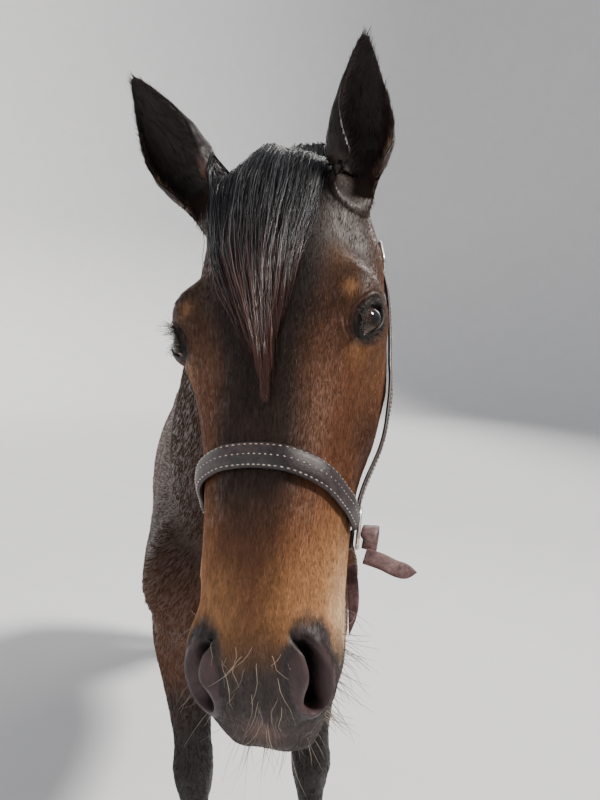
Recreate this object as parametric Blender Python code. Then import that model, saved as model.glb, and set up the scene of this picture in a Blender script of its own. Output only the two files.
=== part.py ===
"""A heavy horse standing at rest in a leather halter, life size.

Metres, +Z up. The horse faces -Y and its left side is +X. Every piece is modelled in the horse's own
frame, whose origin is on the ground below the girth, and one empty carries them all to the part's
origin, at the middle of the ground that the horse covers.
"""

import math
import random

import bmesh
import bpy
import numpy as np
from mathutils import Matrix, Vector
from mathutils.bvhtree import BVHTree

# Driving dimensions
GAP = 0.0003
STANCE_SHIFT = (0.0, 0.228, 0.0)
POLL = (0.025, -1.265, 1.9)
HEAD_FROM_VERTICAL = math.radians(-32)
HEAD_YAW = math.radians(-20)
HEAD_ROLL = math.radians(-6.5)
FORELEG_X = 0.165
HINDLEG_X = 0.155
HOOF_HEIGHT = 0.092
HOOF_GROUND_RADII = (0.073, 0.08)
HOOF_TOP_RADII = (0.057, 0.06)
HOOF_LEAN = 0.022
# A hoof's levels: height, share of the way from its top's size and place to its ground's, and bulge
HOOF_LEVELS = ((HOOF_HEIGHT, 0, 1.0), (HOOF_HEIGHT - 0.008, 0.05, 1.03), (0.02, 0.8, 1.0), (0.0, 1, 1.0))
EYE_PLACE = (0.102, 0.244, -0.026)
EYE_AXIS = (0.80, 0.14, 0.56)
EYE_PROUD = 0.005
EYE_RADIUS = 0.0235
EYE_OPENING = (0.018, 0.027, 0.018)
LID_THICKNESS = 0.0032
EYE_SLANT = (-0.45, 1.0, 0.25)
EYE_SEGMENTS = 12
EAR_WALL = 0.0045
EAR_BOW = 0.012
EAR_BACK_BOW = 0.35
EAR_CUP_OPENING = 0.55
LEG_SQUARE = 2.1
# The nostril's passage from the surface inwards: place, half length and half width of the opening, and
# the way the opening is long
NOSTRIL = (
    ((0.057, 0.613, -0.034), 0.033, 0.019),
    ((0.041, 0.603, -0.058), 0.027, 0.014),
    ((0.030, 0.583, -0.074), 0.018, 0.009),
    ((0.024, 0.555, -0.083), 0.010, 0.005),
)
NOSTRIL_SLIT = (0.10, 0.95, -0.40)
# The mouth's groove: its depth, how far it runs round the muzzle to each side in degrees, its points,
# and the place and height that it runs round, with its drop towards the corners
MOUTH_GROOVE = 0.003
MOUTH_TURN = 118
MOUTH_POINTS = 15
MOUTH_MIDDLE = 0.56
MOUTH_HEIGHT = -0.114
MOUTH_DROP = 0.006
SIDES = {"left": 1, "right": -1}

# Colour, roughness and metallic value of each finish
FINISHES = {
    "bay coat": ((0.05, 0.02, 0.011), 0.45, 0.0),
    "black hair": ((0.008, 0.007, 0.008), 0.4, 0.0),
    "hoof horn": ((0.045, 0.04, 0.036), 0.5, 0.0),
    "eye": ((0.012, 0.007, 0.004), 0.08, 0.0),
    "brown leather": ((0.028, 0.017, 0.014), 0.45, 0.0),
    "steel": ((0.5, 0.5, 0.5), 0.3, 1.0),
}

# Sections of the trunk: distance back, top, bottom, half width, share of the height above the widest
# place, and how square the upper and the lower half are (2 is an ellipse)
TRUNK = (
    (-0.752, 1.13, 1.03, 0.05, 0.5, 2.0, 2.0),
    (-0.735, 1.20, 0.98, 0.125, 0.5, 2.0, 2.1),
    (-0.69, 1.27, 0.93, 0.20, 0.5, 2.1, 2.3),
    (-0.60, 1.38, 0.885, 0.24, 0.5, 2.0, 2.5),
    (-0.44, 1.58, 0.85, 0.262, 0.58, 1.75, 2.5),
    (-0.25, 1.68, 0.825, 0.29, 0.6, 1.7, 2.4),
    (-0.03, 1.645, 0.815, 0.33, 0.57, 1.9, 2.3),
    (0.18, 1.605, 0.84, 0.345, 0.54, 2.05, 2.25),
    (0.38, 1.62, 0.895, 0.335, 0.5, 2.1, 2.2),
    (0.56, 1.665, 0.97, 0.31, 0.48, 2.1, 2.2),
    (0.74, 1.66, 1.04, 0.28, 0.45, 2.0, 2.2),
    (0.89, 1.585, 1.10, 0.215, 0.45, 2.0, 2.2),
    (0.985, 1.475, 1.18, 0.11, 0.5, 2.0, 2.0),
)
# Sections of the neck: place across, crest (back, up), underside (back, up), half width
NECK = (
    (0.0, -0.20, 1.62, -0.56, 1.02, 0.205),
    (0.0, -0.38, 1.715, -0.72, 1.15, 0.205),
    (0.0, -0.58, 1.80, -0.805, 1.285, 0.172),
    (0.004, -0.79, 1.885, -0.89, 1.415, 0.14),
    (0.01, -1.0, 1.945, -0.98, 1.53, 0.115),
    (0.017, -1.155, 1.955, -1.055, 1.61, 0.102),
    (0.025, -1.255, 1.91, -1.13, 1.68, 0.087),
)
# Sections of the head, in its own frame: distance from the poll towards the muzzle, height of the face
# and of the jaw above the face line, half width, share of the height above the widest place, and how
# square the upper and the lower half are
HEAD = (
    (-0.05, -0.045, -0.15, 0.052, 0.5, 2.0, 2.0),
    (0.0, -0.002, -0.205, 0.088, 0.34, 2.4, 2.0),
    (0.05, 0.012, -0.262, 0.102, 0.34, 2.5, 2.0),
    (0.105, 0.018, -0.295, 0.110, 0.35, 2.3, 2.0),
    (0.165, 0.022, -0.302, 0.116, 0.31, 2.5, 1.8),
    (0.22, 0.022, -0.288, 0.118, 0.27, 2.7, 1.6),
    (0.265, 0.018, -0.270, 0.110, 0.29, 2.7, 1.6),
    (0.315, 0.013, -0.247, 0.097, 0.34, 2.5, 1.7),
    (0.37, 0.009, -0.220, 0.087, 0.40, 2.4, 1.8),
    (0.43, 0.004, -0.192, 0.079, 0.44, 2.4, 1.9),
    (0.485, -0.002, -0.170, 0.073, 0.47, 2.5, 2.1),
    (0.53, -0.008, -0.160, 0.070, 0.47, 2.6, 2.2),
    (0.57, -0.016, -0.157, 0.069, 0.46, 2.6, 2.2),
    (0.605, -0.030, -0.154, 0.066, 0.46, 2.5, 2.2),
    (0.634, -0.052, -0.148, 0.056, 0.48, 2.4, 2.2),
    (0.655, -0.082, -0.134, 0.033, 0.5, 2.2, 2.2),
)
# Raised and hollow forms of the head: place across, place along, height, their three radii, and how far
# the surface moves out there
HEAD_FORMS = {
    "brow": ((0.102, 0.206, -0.010), (0.03, 0.038, 0.022), 0.013),
    "temple": ((0.100, 0.112, -0.072), (0.04, 0.048, 0.04), 0.013),
    "root of the ear": ((0.096, 0.045, -0.022), (0.036, 0.036, 0.03), 0.022),
    "hollow above the eye": ((0.096, 0.148, -0.016), (0.028, 0.026, 0.026), -0.009),
    "eye swelling": ((0.116, 0.238, -0.045), (0.05, 0.052, 0.042), 0.014),
    "face crest": ((0.093, 0.325, -0.088), (0.03, 0.06, 0.012), 0.006),
    "cheek": ((0.093, 0.155, -0.190), (0.06, 0.085, 0.07), 0.012),
    "front of the cheek": ((0.090, 0.275, -0.160), (0.06, 0.065, 0.06), 0.018),
    "below the crest": ((0.088, 0.345, -0.118), (0.045, 0.05, 0.045), 0.010),
    "corner of the lips": ((0.055, 0.630, -0.125), (0.03, 0.03, 0.035), -0.008),
    "hollow beside the nose bone": ((0.062, 0.42, -0.05), (0.03, 0.06, 0.02), -0.005),
    "nostril wing": ((0.062, 0.59, -0.068), (0.026, 0.038, 0.03), 0.010),
    "hollow behind the nostril": ((0.058, 0.54, -0.05), (0.02, 0.022, 0.024), -0.006),
    "upper lip": ((0.03, 0.64, -0.10), (0.04, 0.02, 0.02), 0.006),
    "chin": ((0.0, 0.59, -0.162), (0.045, 0.03, 0.02), 0.012),
}
# Sections of a foreleg and of a hind leg, from the top down: height, front, back, place across from
# the leg's own line, half width
FORELEG = (
    (1.18, -0.62, -0.46, 0.0, 0.04),
    (1.06, -0.66, -0.38, 0.012, 0.072),
    (0.95, -0.64, -0.33, 0.018, 0.086),
    (0.85, -0.59, -0.36, 0.018, 0.082),
    (0.75, -0.562, -0.395, 0.012, 0.070),
    (0.64, -0.545, -0.428, 0.005, 0.058),
    (0.565, -0.542, -0.438, 0.0, 0.054),
    (0.50, -0.548, -0.436, 0.0, 0.058),
    (0.44, -0.538, -0.434, 0.0, 0.052),
    (0.38, -0.525, -0.441, 0.0, 0.040),
    (0.28, -0.522, -0.438, 0.0, 0.037),
    (0.215, -0.534, -0.432, 0.0, 0.047),
    (0.165, -0.552, -0.446, 0.0, 0.048),
    (0.125, -0.582, -0.478, 0.0, 0.048),
    (HOOF_HEIGHT + GAP, -0.608, -0.488, 0.0, 0.058),
)
HINDLEG = (
    (1.42, 0.50, 0.93, -0.02, 0.06),
    (1.28, 0.46, 1.005, 0.02, 0.105),
    (1.14, 0.465, 1.025, 0.035, 0.115),
    (1.02, 0.50, 0.995, 0.035, 0.11),
    (0.92, 0.575, 0.955, 0.03, 0.092),
    (0.82, 0.665, 0.935, 0.022, 0.073),
    (0.735, 0.745, 0.96, 0.015, 0.058),
    (0.675, 0.805, 1.01, 0.008, 0.053),
    (0.625, 0.845, 1.03, 0.0, 0.055),
    (0.56, 0.875, 1.01, 0.0, 0.053),
    (0.48, 0.888, 0.985, 0.0, 0.043),
    (0.38, 0.892, 0.975, 0.0, 0.037),
    (0.28, 0.892, 0.978, 0.0, 0.038),
    (0.215, 0.880, 0.988, 0.0, 0.048),
    (0.165, 0.862, 0.971, 0.0, 0.048),
    (0.125, 0.832, 0.938, 0.0, 0.048),
    (HOOF_HEIGHT + GAP, 0.804, 0.925, 0.0, 0.058),
)
# Raised and hollow forms of the trunk: place across, back and up, their three radii, and how far the
# surface moves out there
TRUNK_FORMS = {
    "shoulder blade": ((0.20, -0.36, 1.38), (0.10, 0.10, 0.22), 0.022),
    "point of the shoulder": ((0.20, -0.66, 1.10), (0.09, 0.08, 0.12), 0.035),
    "breast": ((0.09, -0.75, 1.05), (0.07, 0.08, 0.12), 0.03),
    "middle of the breast": ((0.0, -0.76, 1.08), (0.03, 0.08, 0.12), -0.012),
    "upper arm": ((0.26, -0.47, 1.05), (0.12, 0.16, 0.12), 0.04),
    "hollow behind the shoulder": ((0.30, -0.17, 1.22), (0.12, 0.06, 0.2), -0.012),
    "point of the hip": ((0.27, 0.42, 1.50), (0.08, 0.06, 0.06), 0.014),
    "hollow of the flank": ((0.32, 0.42, 1.22), (0.1, 0.09, 0.14), -0.02),
    "haunch": ((0.28, 0.66, 1.36), (0.12, 0.16, 0.2), 0.024),
    "buttock": ((0.14, 0.95, 1.28), (0.10, 0.10, 0.16), 0.03),
    "furrow of the croup": ((0.0, 0.72, 1.67), (0.035, 0.2, 0.05), -0.012),
}
# Where the body is parted: the crest's and the chest's point of the neck's cut, and the poll's and the
# throat's point of the head's cut, in the head's own frame
NECK_CUT = ((0.0, -0.33, 1.70), (0.0, -0.80, 1.13))
# The head's cut ends above the breast, where no part of the head is
HEAD_LOWEST = 1.25
HEAD_CUT_POLL = (0.0, -0.05, 0.03)
HEAD_CUT_THROAT = (0.0, 0.148, -0.329)
# Sections of the dock and the tail's hair, from the root: back, up, half depth, half width
TAIL = (
    (0.86, 1.545, 0.04, 0.04),
    (0.95, 1.515, 0.05, 0.05),
    (1.02, 1.43, 0.052, 0.058),
    (1.06, 1.30, 0.055, 0.068),
    (1.075, 1.10, 0.06, 0.08),
    (1.07, 0.85, 0.06, 0.082),
    (1.065, 0.60, 0.05, 0.07),
    (1.06, 0.42, 0.03, 0.045),
    (1.06, 0.33, 0.012, 0.02),
)
# Each ear: its foot on the head, its tip, the way its opening faces, and its greatest half width; and
# how far its middle bows outwards
EARS = {
    "left": ((0.096, 0.045, -0.014), (0.129, -1.315, 2.043), (0.30, -1.0, 0.05), 0.043),
    "right": ((-0.096, 0.035, -0.014), (-0.163, -1.235, 2.012), (-0.7, -0.9, 0.2), 0.044),
}
# An ear's sections: share of its length, share of its greatest half width, half depth, cup half width
# and how far the cup's middle lies towards the opening, as shares of the greatest half width
EAR_SECTIONS = (
    (-0.22, 0.30, 0.30),
    (-0.08, 0.56, 0.56),
    (0.04, 0.68, 0.66),
    (0.14, 0.84, 0.80),
    (0.30, 1.00, 0.80),
    (0.48, 0.98, 0.66),
    (0.66, 0.78, 0.48),
    (0.84, 0.45, 0.28),
    (0.96, 0.17, 0.12),
    (1.0, 0.05, 0.04),
)
# How a lock tapers: shares of its length, and of its width there
LOCK_TAPER = ((0.0, 0.12, 0.35, 0.65, 0.85, 1.0), (0.7, 0.9, 1.0, 0.85, 0.55, 0.08))
LOCK_THICKNESS = 0.008
# The mane: its span from the poll to the withers, its locks, their width and length, and how far the
# first layer and each next one lie off the neck
MANE_SPAN = (0.20, 0.97)
MANE_FALLS = (0.14, 0.4, 0.7, 1.0)
MANE_OUTSIDE = 0.6
MANE_LAYERS = 2
MANE_LOCKS = 10
MANE_WIDTH = 0.070
MANE_LENGTH = 0.30
MANE_LIFT = 0.0125
MANE_LAYER_STEP = 0.0115
MANE_SWAY = 0.014
MANE_INSET = 0.014
# The forelock: its root, half width and tip on the head, and its layers' locks, ends and lifts
FORELOCK_ROOT = 0.004
FORELOCK_MIDDLE = -0.008
FORELOCK_HALF_WIDTH = 0.048
FORELOCK_TIP = -0.006
FORELOCK_GATHER = 0.55
FORELOCK_WIDTH = 0.038
FORELOCK_LOCKS = 10
FORELOCK_END = 0.33
FORELOCK_LIFTS = (0.006, 0.015, 0.024)
FORELOCK_SHARES = (0.04, 0.3, 0.6, 1.0)
FORELOCK_SUNK = 0.02
# The tail: its layers' locks, their reach out of the middle, their lowest tips, and each lock's size
TAIL_LAYERS = ((9, 1.0, 0.36), (6, 0.68, 0.34), (3, 0.34, 0.33))
DOCK_TIP = 1.0
TAIL_ROOT = 0.35
TAIL_WIDTH = 0.055
TAIL_THICKNESS = 0.013
TAIL_OUTER_TOPS = (1.32, 1.47)
TAIL_INNER_TOPS = (1.15, 1.4)
TAIL_SHARES = (0.0, 0.08, 0.33, 0.66, 1.0)
TAIL_TWIST = 0.2
TAIL_GATHER = 0.25
# The fetlocks' long hair: its locks, how far they reach round the leg, their ends, and how far they lie
# off the leg, in turns of two, and stand out behind the heel
FEATHER_LOCKS = 6
FEATHER_TOP = 0.27
FEATHER_TIP = 0.035
FEATHER_WIDTH = 0.046
FEATHER_TURN = math.radians(100)
FEATHER_SLOPE = 0.10
FEATHER_SHARES = (0.0, 0.15, 0.55, 1.0)
FEATHER_SUNK = 0.012
FEATHER_LIFT = 0.004
FEATHER_STEP = 0.009
FEATHER_FLARE = 0.016

# Width and thickness of the halter's straps, how far they lie off the coat, and its wire rings
NOSEBAND = (0.026, 0.007)
STRAP = (0.022, 0.005)
STRAP_CLEARANCE = 0.0045
RING_WIRE = 0.0022
RING_SIZE = (0.034, 0.038)
STRAP_STATION = 0.03
# Guide points of the halter on the head, each across, along and above the face line
RINGS = {
    "ring_left": (0.080, 0.452, -0.112),
    "ring_right": (-0.080, 0.437, -0.112),
    "upper_ring_left": (0.103, 0.088, -0.110),
    "upper_ring_right": (-0.103, 0.088, -0.110),
}
CHIN_RING = (0.0, 0.462, -0.185)
NOSEBAND_ROUTE = (
    (0.080, 0.448, -0.094), (0.077, 0.437, -0.055), (0.055, 0.421, -0.008), (0.0, 0.410, 0.006),
    (-0.055, 0.413, -0.008), (-0.077, 0.422, -0.05), (-0.080, 0.433, -0.094),
)
CROWN_ROUTE = (
    (0.104, 0.07, -0.108), (0.10, 0.02, -0.083), (0.075, -0.02, -0.045), (0.035, -0.035, -0.012),
    (0.0, -0.038, -0.005),
    (-0.035, -0.035, -0.012), (-0.075, -0.02, -0.045), (-0.10, 0.02, -0.083), (-0.104, 0.07, -0.108),
)
THROAT_ROUTE = (
    (0.104, 0.098, -0.128), (0.105, 0.085, -0.165), (0.098, 0.075, -0.22), (0.075, 0.085, -0.275),
    (0.04, 0.11, -0.31), (0.0, 0.125, -0.32),
    (-0.04, 0.11, -0.31), (-0.075, 0.085, -0.275), (-0.098, 0.075, -0.22), (-0.105, 0.085, -0.165),
    (-0.104, 0.098, -0.128),
)
CENTER_ROUTE = ((0.0, 0.15, -0.305), (0.0, 0.25, -0.28), (0.0, 0.35, -0.235), (0.0, 0.444, -0.19))
CHEEK_ROUTE = (
    (0.080, 0.430, -0.118), (0.095, 0.36, -0.128), (0.108, 0.28, -0.132), (0.112, 0.19, -0.136),
    (0.105, 0.107, -0.116),
)
CHIN_ROUTE = ((0.074, 0.458, -0.134), (0.062, 0.46, -0.160), (0.04, 0.462, -0.180), (0.016, 0.462, -0.187))
# How far a cheek strap hangs clear of the face
CHEEK_SLACK = 0.005


def clear_scene():
    """Start from an empty scene."""
    for item in list(bpy.data.objects):
        bpy.data.objects.remove(item, do_unlink=True)


def finish_material(name):
    """The Principled material of one finish."""
    material = bpy.data.materials.get(name)
    if material is None:
        colour, roughness, metallic = FINISHES[name]
        material = bpy.data.materials.new(name)
        material.use_nodes = True
        shader = material.node_tree.nodes["Principled BSDF"]
        shader.inputs["Base Color"].default_value = (*colour, 1.0)
        shader.inputs["Roughness"].default_value = roughness
        shader.inputs["Metallic"].default_value = metallic
        material.diffuse_color = (*colour, 1.0)
    return material


def collection(name):
    """A collection of the scene, made when it is first asked for."""
    found = bpy.data.collections.get(name)
    if found is None:
        found = bpy.data.collections.new(name)
        bpy.context.scene.collection.children.link(found)
    return found


def add_object(name, mesh, where="Cutters"):
    """An object for a mesh, in the parts' collection or in the cutters'."""
    item = bpy.data.objects.new(name, mesh)
    collection(where).objects.link(item)
    if where == "Cutters":
        item.hide_render = True
        item.display_type = "WIRE"
    return item


def object_from_points(name, points, faces):
    """A closed object from points and faces, with its faces turned out."""
    mesh = bpy.data.meshes.new(name)
    mesh.from_pydata([tuple(point) for point in points], [], faces)
    shape = bmesh.new()
    shape.from_mesh(mesh)
    bmesh.ops.recalc_face_normals(shape, faces=shape.faces)
    bmesh.ops.triangulate(shape, faces=shape.faces)
    shape.to_mesh(mesh)
    shape.free()
    return add_object(name, mesh)


def smooth_rows(rows, spacing):
    """Rows of numbers read every `spacing` along a smooth curve through them. The first six numbers of
    a row are its top and bottom points, and the curve is a cubic span between each two rows."""
    rows = np.asarray(rows, float)
    middles = (rows[:, 0:3] + rows[:, 3:6]) / 2
    reach = (rows[:, 0:3] - rows[:, 3:6]) / 2
    gaps = np.linalg.norm(np.diff(middles, axis=0), axis=1)
    gaps = np.maximum(gaps, np.linalg.norm(np.diff(reach, axis=0), axis=1) * 0.5)
    slopes = np.diff(rows, axis=0) / gaps[:, None]
    tangents = np.vstack([slopes[:1], slopes[:-1], slopes[-1:]])
    if len(rows) > 2:
        weights = (gaps[1:] / (gaps[:-1] + gaps[1:]))[:, None]
        tangents = np.vstack([slopes[:1], weights * slopes[:-1] + (1 - weights) * slopes[1:], slopes[-1:]])
    result = []
    for i, gap in enumerate(gaps):
        count = max(1, round(gap / spacing))
        t = (np.arange(count) / count)[:, None]
        result.append(
            (2 * t**3 - 3 * t**2 + 1) * rows[i]
            + (t**3 - 2 * t**2 + t) * gap * tangents[i]
            + (3 * t**2 - 2 * t**3) * rows[i + 1]
            + (t**3 - t**2) * gap * tangents[i + 1]
        )
    result.append(rows[-1:])
    return np.vstack(result)


def loft_rings(rows, around, spacing):
    """Rings of points along a loft. A row holds the top and the bottom point of a section, the way its
    side faces, its half width, the share of its height above the widest place, and how square its
    upper and lower halves are. Each half is a superellipse."""
    rows = smooth_rows(rows, spacing)
    top, bottom, side = rows[:, 0:3], rows[:, 3:6], rows[:, 6:9]
    side = side / np.linalg.norm(side, axis=1)[:, None]
    half_width, share, square_top, square_bottom = (rows[:, i, None] for i in range(9, 13))
    middle = top + (bottom - top) * share
    angle = np.arange(around) * 2 * math.pi / around
    rise, spread = np.cos(angle)[None], np.sin(angle)[None]
    power = 2 / np.where(rise >= 0, square_top, square_bottom)
    reach = np.where(rise[..., None] >= 0, (top - middle)[:, None], (bottom - middle)[:, None])
    rise = np.abs(rise) ** power
    spread = np.sign(spread) * np.abs(spread) ** power * half_width
    return middle[:, None] + reach * rise[..., None] + side[:, None] * spread[..., None]


def object_from_rings(name, rings):
    """A closed object through rings of points, with a point in the middle of each end."""
    count, around = rings.shape[:2]
    points = [*rings.reshape(-1, 3), rings[0].mean(axis=0), rings[-1].mean(axis=0)]
    first_end, last_end = count * around, count * around + 1
    faces = []
    for i in range(around):
        j = (i + 1) % around
        for k in range(count - 1):
            faces.append((k * around + i, k * around + j, (k + 1) * around + j, (k + 1) * around + i))
        faces.append((first_end, j, i))
        faces.append((last_end, (count - 1) * around + i, (count - 1) * around + j))
    return object_from_points(name, points, faces)


def loft(name, rows, around, spacing):
    return object_from_rings(name, loft_rings(rows, around, spacing))


def ellipsoid(name, centre, radii, turn=None, segments=20):
    """A ball with three radii, turned by a matrix."""
    mesh = bpy.data.meshes.new(name)
    shape = bmesh.new()
    place = Matrix.Translation(centre) @ (turn or Matrix.Identity(4)) @ Matrix.Diagonal((*radii, 1))
    bmesh.ops.create_uvsphere(shape, u_segments=segments, v_segments=segments // 2, radius=1, matrix=place)
    bmesh.ops.triangulate(shape, faces=shape.faces)
    shape.to_mesh(mesh)
    shape.free()
    return add_object(name, mesh)


def cube(name, centre, size):
    mesh = bpy.data.meshes.new(name)
    shape = bmesh.new()
    bmesh.ops.create_cube(shape, size=size, matrix=Matrix.Translation(centre))
    bmesh.ops.triangulate(shape, faces=shape.faces)
    shape.to_mesh(mesh)
    shape.free()
    return add_object(name, mesh)


def apply_modifiers(item):
    """Give an object the mesh that its modifiers make."""
    graph = bpy.context.evaluated_depsgraph_get()
    mesh = bpy.data.meshes.new_from_object(item.evaluated_get(graph))
    old = item.data
    item.modifiers.clear()
    item.data = mesh
    bpy.data.meshes.remove(old)


def keep_largest(item):
    """Keep the largest closed surface of an object."""
    shape = bmesh.new()
    shape.from_mesh(item.data)
    waiting = set(shape.faces)
    surfaces = []
    while waiting:
        group, frontier = [], [waiting.pop()]
        while frontier:
            face = frontier.pop()
            group.append(face)
            for edge in face.edges:
                for other in edge.link_faces:
                    if other in waiting:
                        waiting.discard(other)
                        frontier.append(other)
        surfaces.append(group)
    surfaces.sort(key=lambda faces: sum(face.calc_area() for face in faces))
    spare = [face for group in surfaces[:-1] for face in group]
    bmesh.ops.delete(shape, geom=spare, context="FACES")
    bmesh.ops.triangulate(shape, faces=shape.faces)
    shape.to_mesh(item.data)
    shape.free()


def combine(base, pieces, operation):
    """Join pieces to a base, or cut them from it, by one Boolean on their collection."""
    group = collection("Operands")
    for piece in pieces:
        for home in list(piece.users_collection):
            home.objects.unlink(piece)
        group.objects.link(piece)
    boolean = base.modifiers.new(operation.lower(), "BOOLEAN")
    boolean.operation = operation
    boolean.operand_type = "COLLECTION"
    boolean.collection = group
    boolean.solver = "MANIFOLD"
    apply_modifiers(base)
    for piece in pieces:
        bpy.data.objects.remove(piece, do_unlink=True)
    keep_largest(base)
    return base


def copy_of(item, name):
    return add_object(name, item.data.copy())


def inflated(item):
    """A copy whose surface lies one gap outside the object's."""
    bigger = copy_of(item, f"{item.name} with its gap")
    push = bigger.modifiers.new("gap", "DISPLACE")
    push.strength = GAP
    push.mid_level = 0.0
    apply_modifiers(bigger)
    return bigger


def fit_against(piece, bases):
    """Cut a piece so that it meets other pieces face to face, one gap away."""
    return combine(piece, [inflated(base) for base in bases], "DIFFERENCE")


def keep_side(item, point, normal):
    """Keep what lies on the side of a plane that the normal points to, and close the cut."""
    shape = bmesh.new()
    shape.from_mesh(item.data)
    everything = [*shape.verts, *shape.edges, *shape.faces]
    cut = bmesh.ops.bisect_plane(
        shape, geom=everything, dist=1e-6, plane_co=point, plane_no=normal, clear_inner=True
    )
    rim = [edge for edge in cut["geom_cut"] if isinstance(edge, bmesh.types.BMEdge)]
    bmesh.ops.holes_fill(shape, edges=rim, sides=0)
    bmesh.ops.recalc_face_normals(shape, faces=shape.faces)
    shape.to_mesh(item.data)
    shape.free()
    keep_largest(item)
    return item


def head_matrix():
    """The head's own frame: left, away from the face, up the face line, with its origin at the poll."""
    return (
        Matrix.Translation(POLL)
        @ Matrix.Rotation(HEAD_YAW, 4, "Z")
        @ Matrix.Rotation(HEAD_ROLL, 4, "Y")
        @ Matrix.Rotation(HEAD_FROM_VERTICAL, 4, "X")
    )


HEAD_FRAME = head_matrix()


def at_head(across, along, height):
    """A point given by its place across the head, along it from the poll, and above the face line."""
    return HEAD_FRAME @ Vector((across, -height, -along))


def head_direction(across, along, height):
    return (HEAD_FRAME.to_3x3() @ Vector((across, -height, -along))).normalized()


def flat_rows(rows):
    """Rows whose points and directions are written out as plain numbers."""
    return [[*a, *b, *side, *rest] for a, b, side, *rest in rows]


def swell(rings, places, forms):
    """Raise and hollow forms on both sides: each moves the points near it out from the middle of their
    ring, by its height times a bell curve of their distance in its own radii."""
    outward = rings - rings.mean(axis=1)[:, None]
    outward /= np.linalg.norm(outward, axis=2)[..., None]
    shift = np.zeros(rings.shape[:2])
    for centre, radii, height in forms.values():
        for side in SIDES.values():
            away = (places - np.array(centre) * (side, 1, 1)) / np.array(radii)
            bell = height * np.exp(-(away**2).sum(axis=2))
            shift += bell if centre[0] else bell / 2
    return rings + outward * shift[..., None]


def make_trunk():
    rows = [
        ((0, y, top), (0, y, bottom), (1, 0, 0), half, share, upper, lower)
        for y, top, bottom, half, share, upper, lower in TRUNK
    ]
    rings = loft_rings(flat_rows(rows), around=24, spacing=0.085)
    return object_from_rings("trunk", swell(rings, rings, TRUNK_FORMS))


def make_neck_loft():
    rows = []
    for i, (x, crest_y, crest_z, under_y, under_z, half) in enumerate(NECK):
        turn = HEAD_YAW * max(0, i - 2) / (len(NECK) - 3)
        side = (math.cos(turn), math.sin(turn), 0)
        rows.append(((x, crest_y, crest_z), (x, under_y, under_z), side, half, 0.55, 1.75, 2.1))
    return loft("neck loft", flat_rows(rows), around=24, spacing=0.07)


def head_places(points):
    """Points in the head's own measures: across it, along it from the poll, and above the face line."""
    to_local = np.array(HEAD_FRAME.inverted())
    local = points @ to_local[:3, :3].T + to_local[:3, 3]
    return np.stack([local[..., 0], -local[..., 2], -local[..., 1]], axis=-1)


def make_head_loft():
    side = head_direction(1, 0, 0)
    rows = [
        (at_head(0, along, top), at_head(0, along, bottom), side, half, share, upper, lower)
        for along, top, bottom, half, share, upper, lower in HEAD
    ]
    rings = loft_rings(flat_rows(rows), around=30, spacing=0.023)
    return object_from_rings("head", swell(rings, head_places(rings), HEAD_FORMS))


def make_flesh():
    """The trunk, neck and head as one body."""
    return combine(make_trunk(), [make_neck_loft(), make_head_loft()], "UNION")


def part_flesh(flesh):
    """Part the body into torso, neck and head by two thin plane cuts."""
    point = Vector(NECK_CUT[0])
    normal = Vector((1, 0, 0)).cross(point - Vector(NECK_CUT[1])).normalized()
    step = normal * GAP / 2
    torso = keep_side(copy_of(flesh, "torso"), point - step, -normal)
    neck = keep_side(copy_of(flesh, "neck"), point + step, normal)
    poll, throat = at_head(*HEAD_CUT_POLL), at_head(*HEAD_CUT_THROAT)
    across = head_direction(1, 0, 0)
    facing = across.cross(throat - poll).normalized()
    if facing.dot(at_head(0, 0.3, -0.1) - poll) < 0:
        facing = -facing
    head, room = copy_of(neck, "head"), cube("room for the head", poll, 2)
    for item, step in ((head, GAP / 2), (room, -GAP / 2)):
        keep_side(item, poll + facing * step, facing)
        keep_side(item, Vector((0, 0, HEAD_LOWEST)), Vector((0, 0, 1)))
    return torso, combine(neck, [room], "DIFFERENCE"), head


def leg_rows(table, line, side):
    rows = []
    for z, front, back, across, half in table:
        x = (line + across) * side
        rows.append(((x, front, z), (x, back, z), (1, 0, 0), half, 0.5, LEG_SQUARE, LEG_SQUARE))
    return flat_rows(rows)


def make_leg(name, table, line, side, torso):
    leg = loft(name, leg_rows(table, line, side), around=12, spacing=0.08)
    return fit_against(leg, [torso])


def make_hoof(name, coronet, x):
    """A hoof: its wall flares from the coronet to a flat sole."""
    z, front, back = coronet[:3]
    middle = (front + back) / 2
    rows = []
    for height, drop, bulge in HOOF_LEVELS:
        wide, long = (
            (top + (ground - top) * drop) * bulge for top, ground in zip(HOOF_TOP_RADII, HOOF_GROUND_RADII)
        )
        y = middle - HOOF_LEAN * drop
        rows.append(((x, y - long, height), (x, y + long, height), (1, 0, 0), wide, 0.55, 2.1, 2.4))
    return loft(name, flat_rows(rows), around=16, spacing=0.05)


def make_dock(torso):
    """The tail's own stem, which carries its hair."""
    rows = np.array([row for row in TAIL if row[1] > DOCK_TIP])
    rows[2:, 2:] *= np.linspace(0.85, 0.4, len(rows) - 2)[:, None]
    along = np.gradient(rows[:, :2], axis=0)
    along /= np.linalg.norm(along, axis=1)[:, None]
    sections = []
    for (y, z, depth, half), (dy, dz) in zip(rows, along):
        out = np.array((0, -dz * depth, dy * depth))
        sections.append((out + (0, y, z), (0, y, z) - out, (1, 0, 0), half, 0.5, 2, 2))
    return fit_against(loft("tail", flat_rows(sections), around=12, spacing=0.07), [torso])


def eye_axis(side):
    return head_direction(EYE_AXIS[0] * side, *EYE_AXIS[1:])


def eye_centre(tree, side):
    """The middle of the eyeball, whose front stands just proud of the head's surface."""
    across, along, height = EYE_PLACE
    foot = tree.find_nearest(at_head(across * side, along, height))[0]
    return foot - eye_axis(side) * (EYE_RADIUS - EYE_PROUD)


def make_eye(name, centre):
    return ellipsoid(name, centre, (EYE_RADIUS,) * 3, HEAD_FRAME.to_3x3().to_4x4(), EYE_SEGMENTS)


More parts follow.
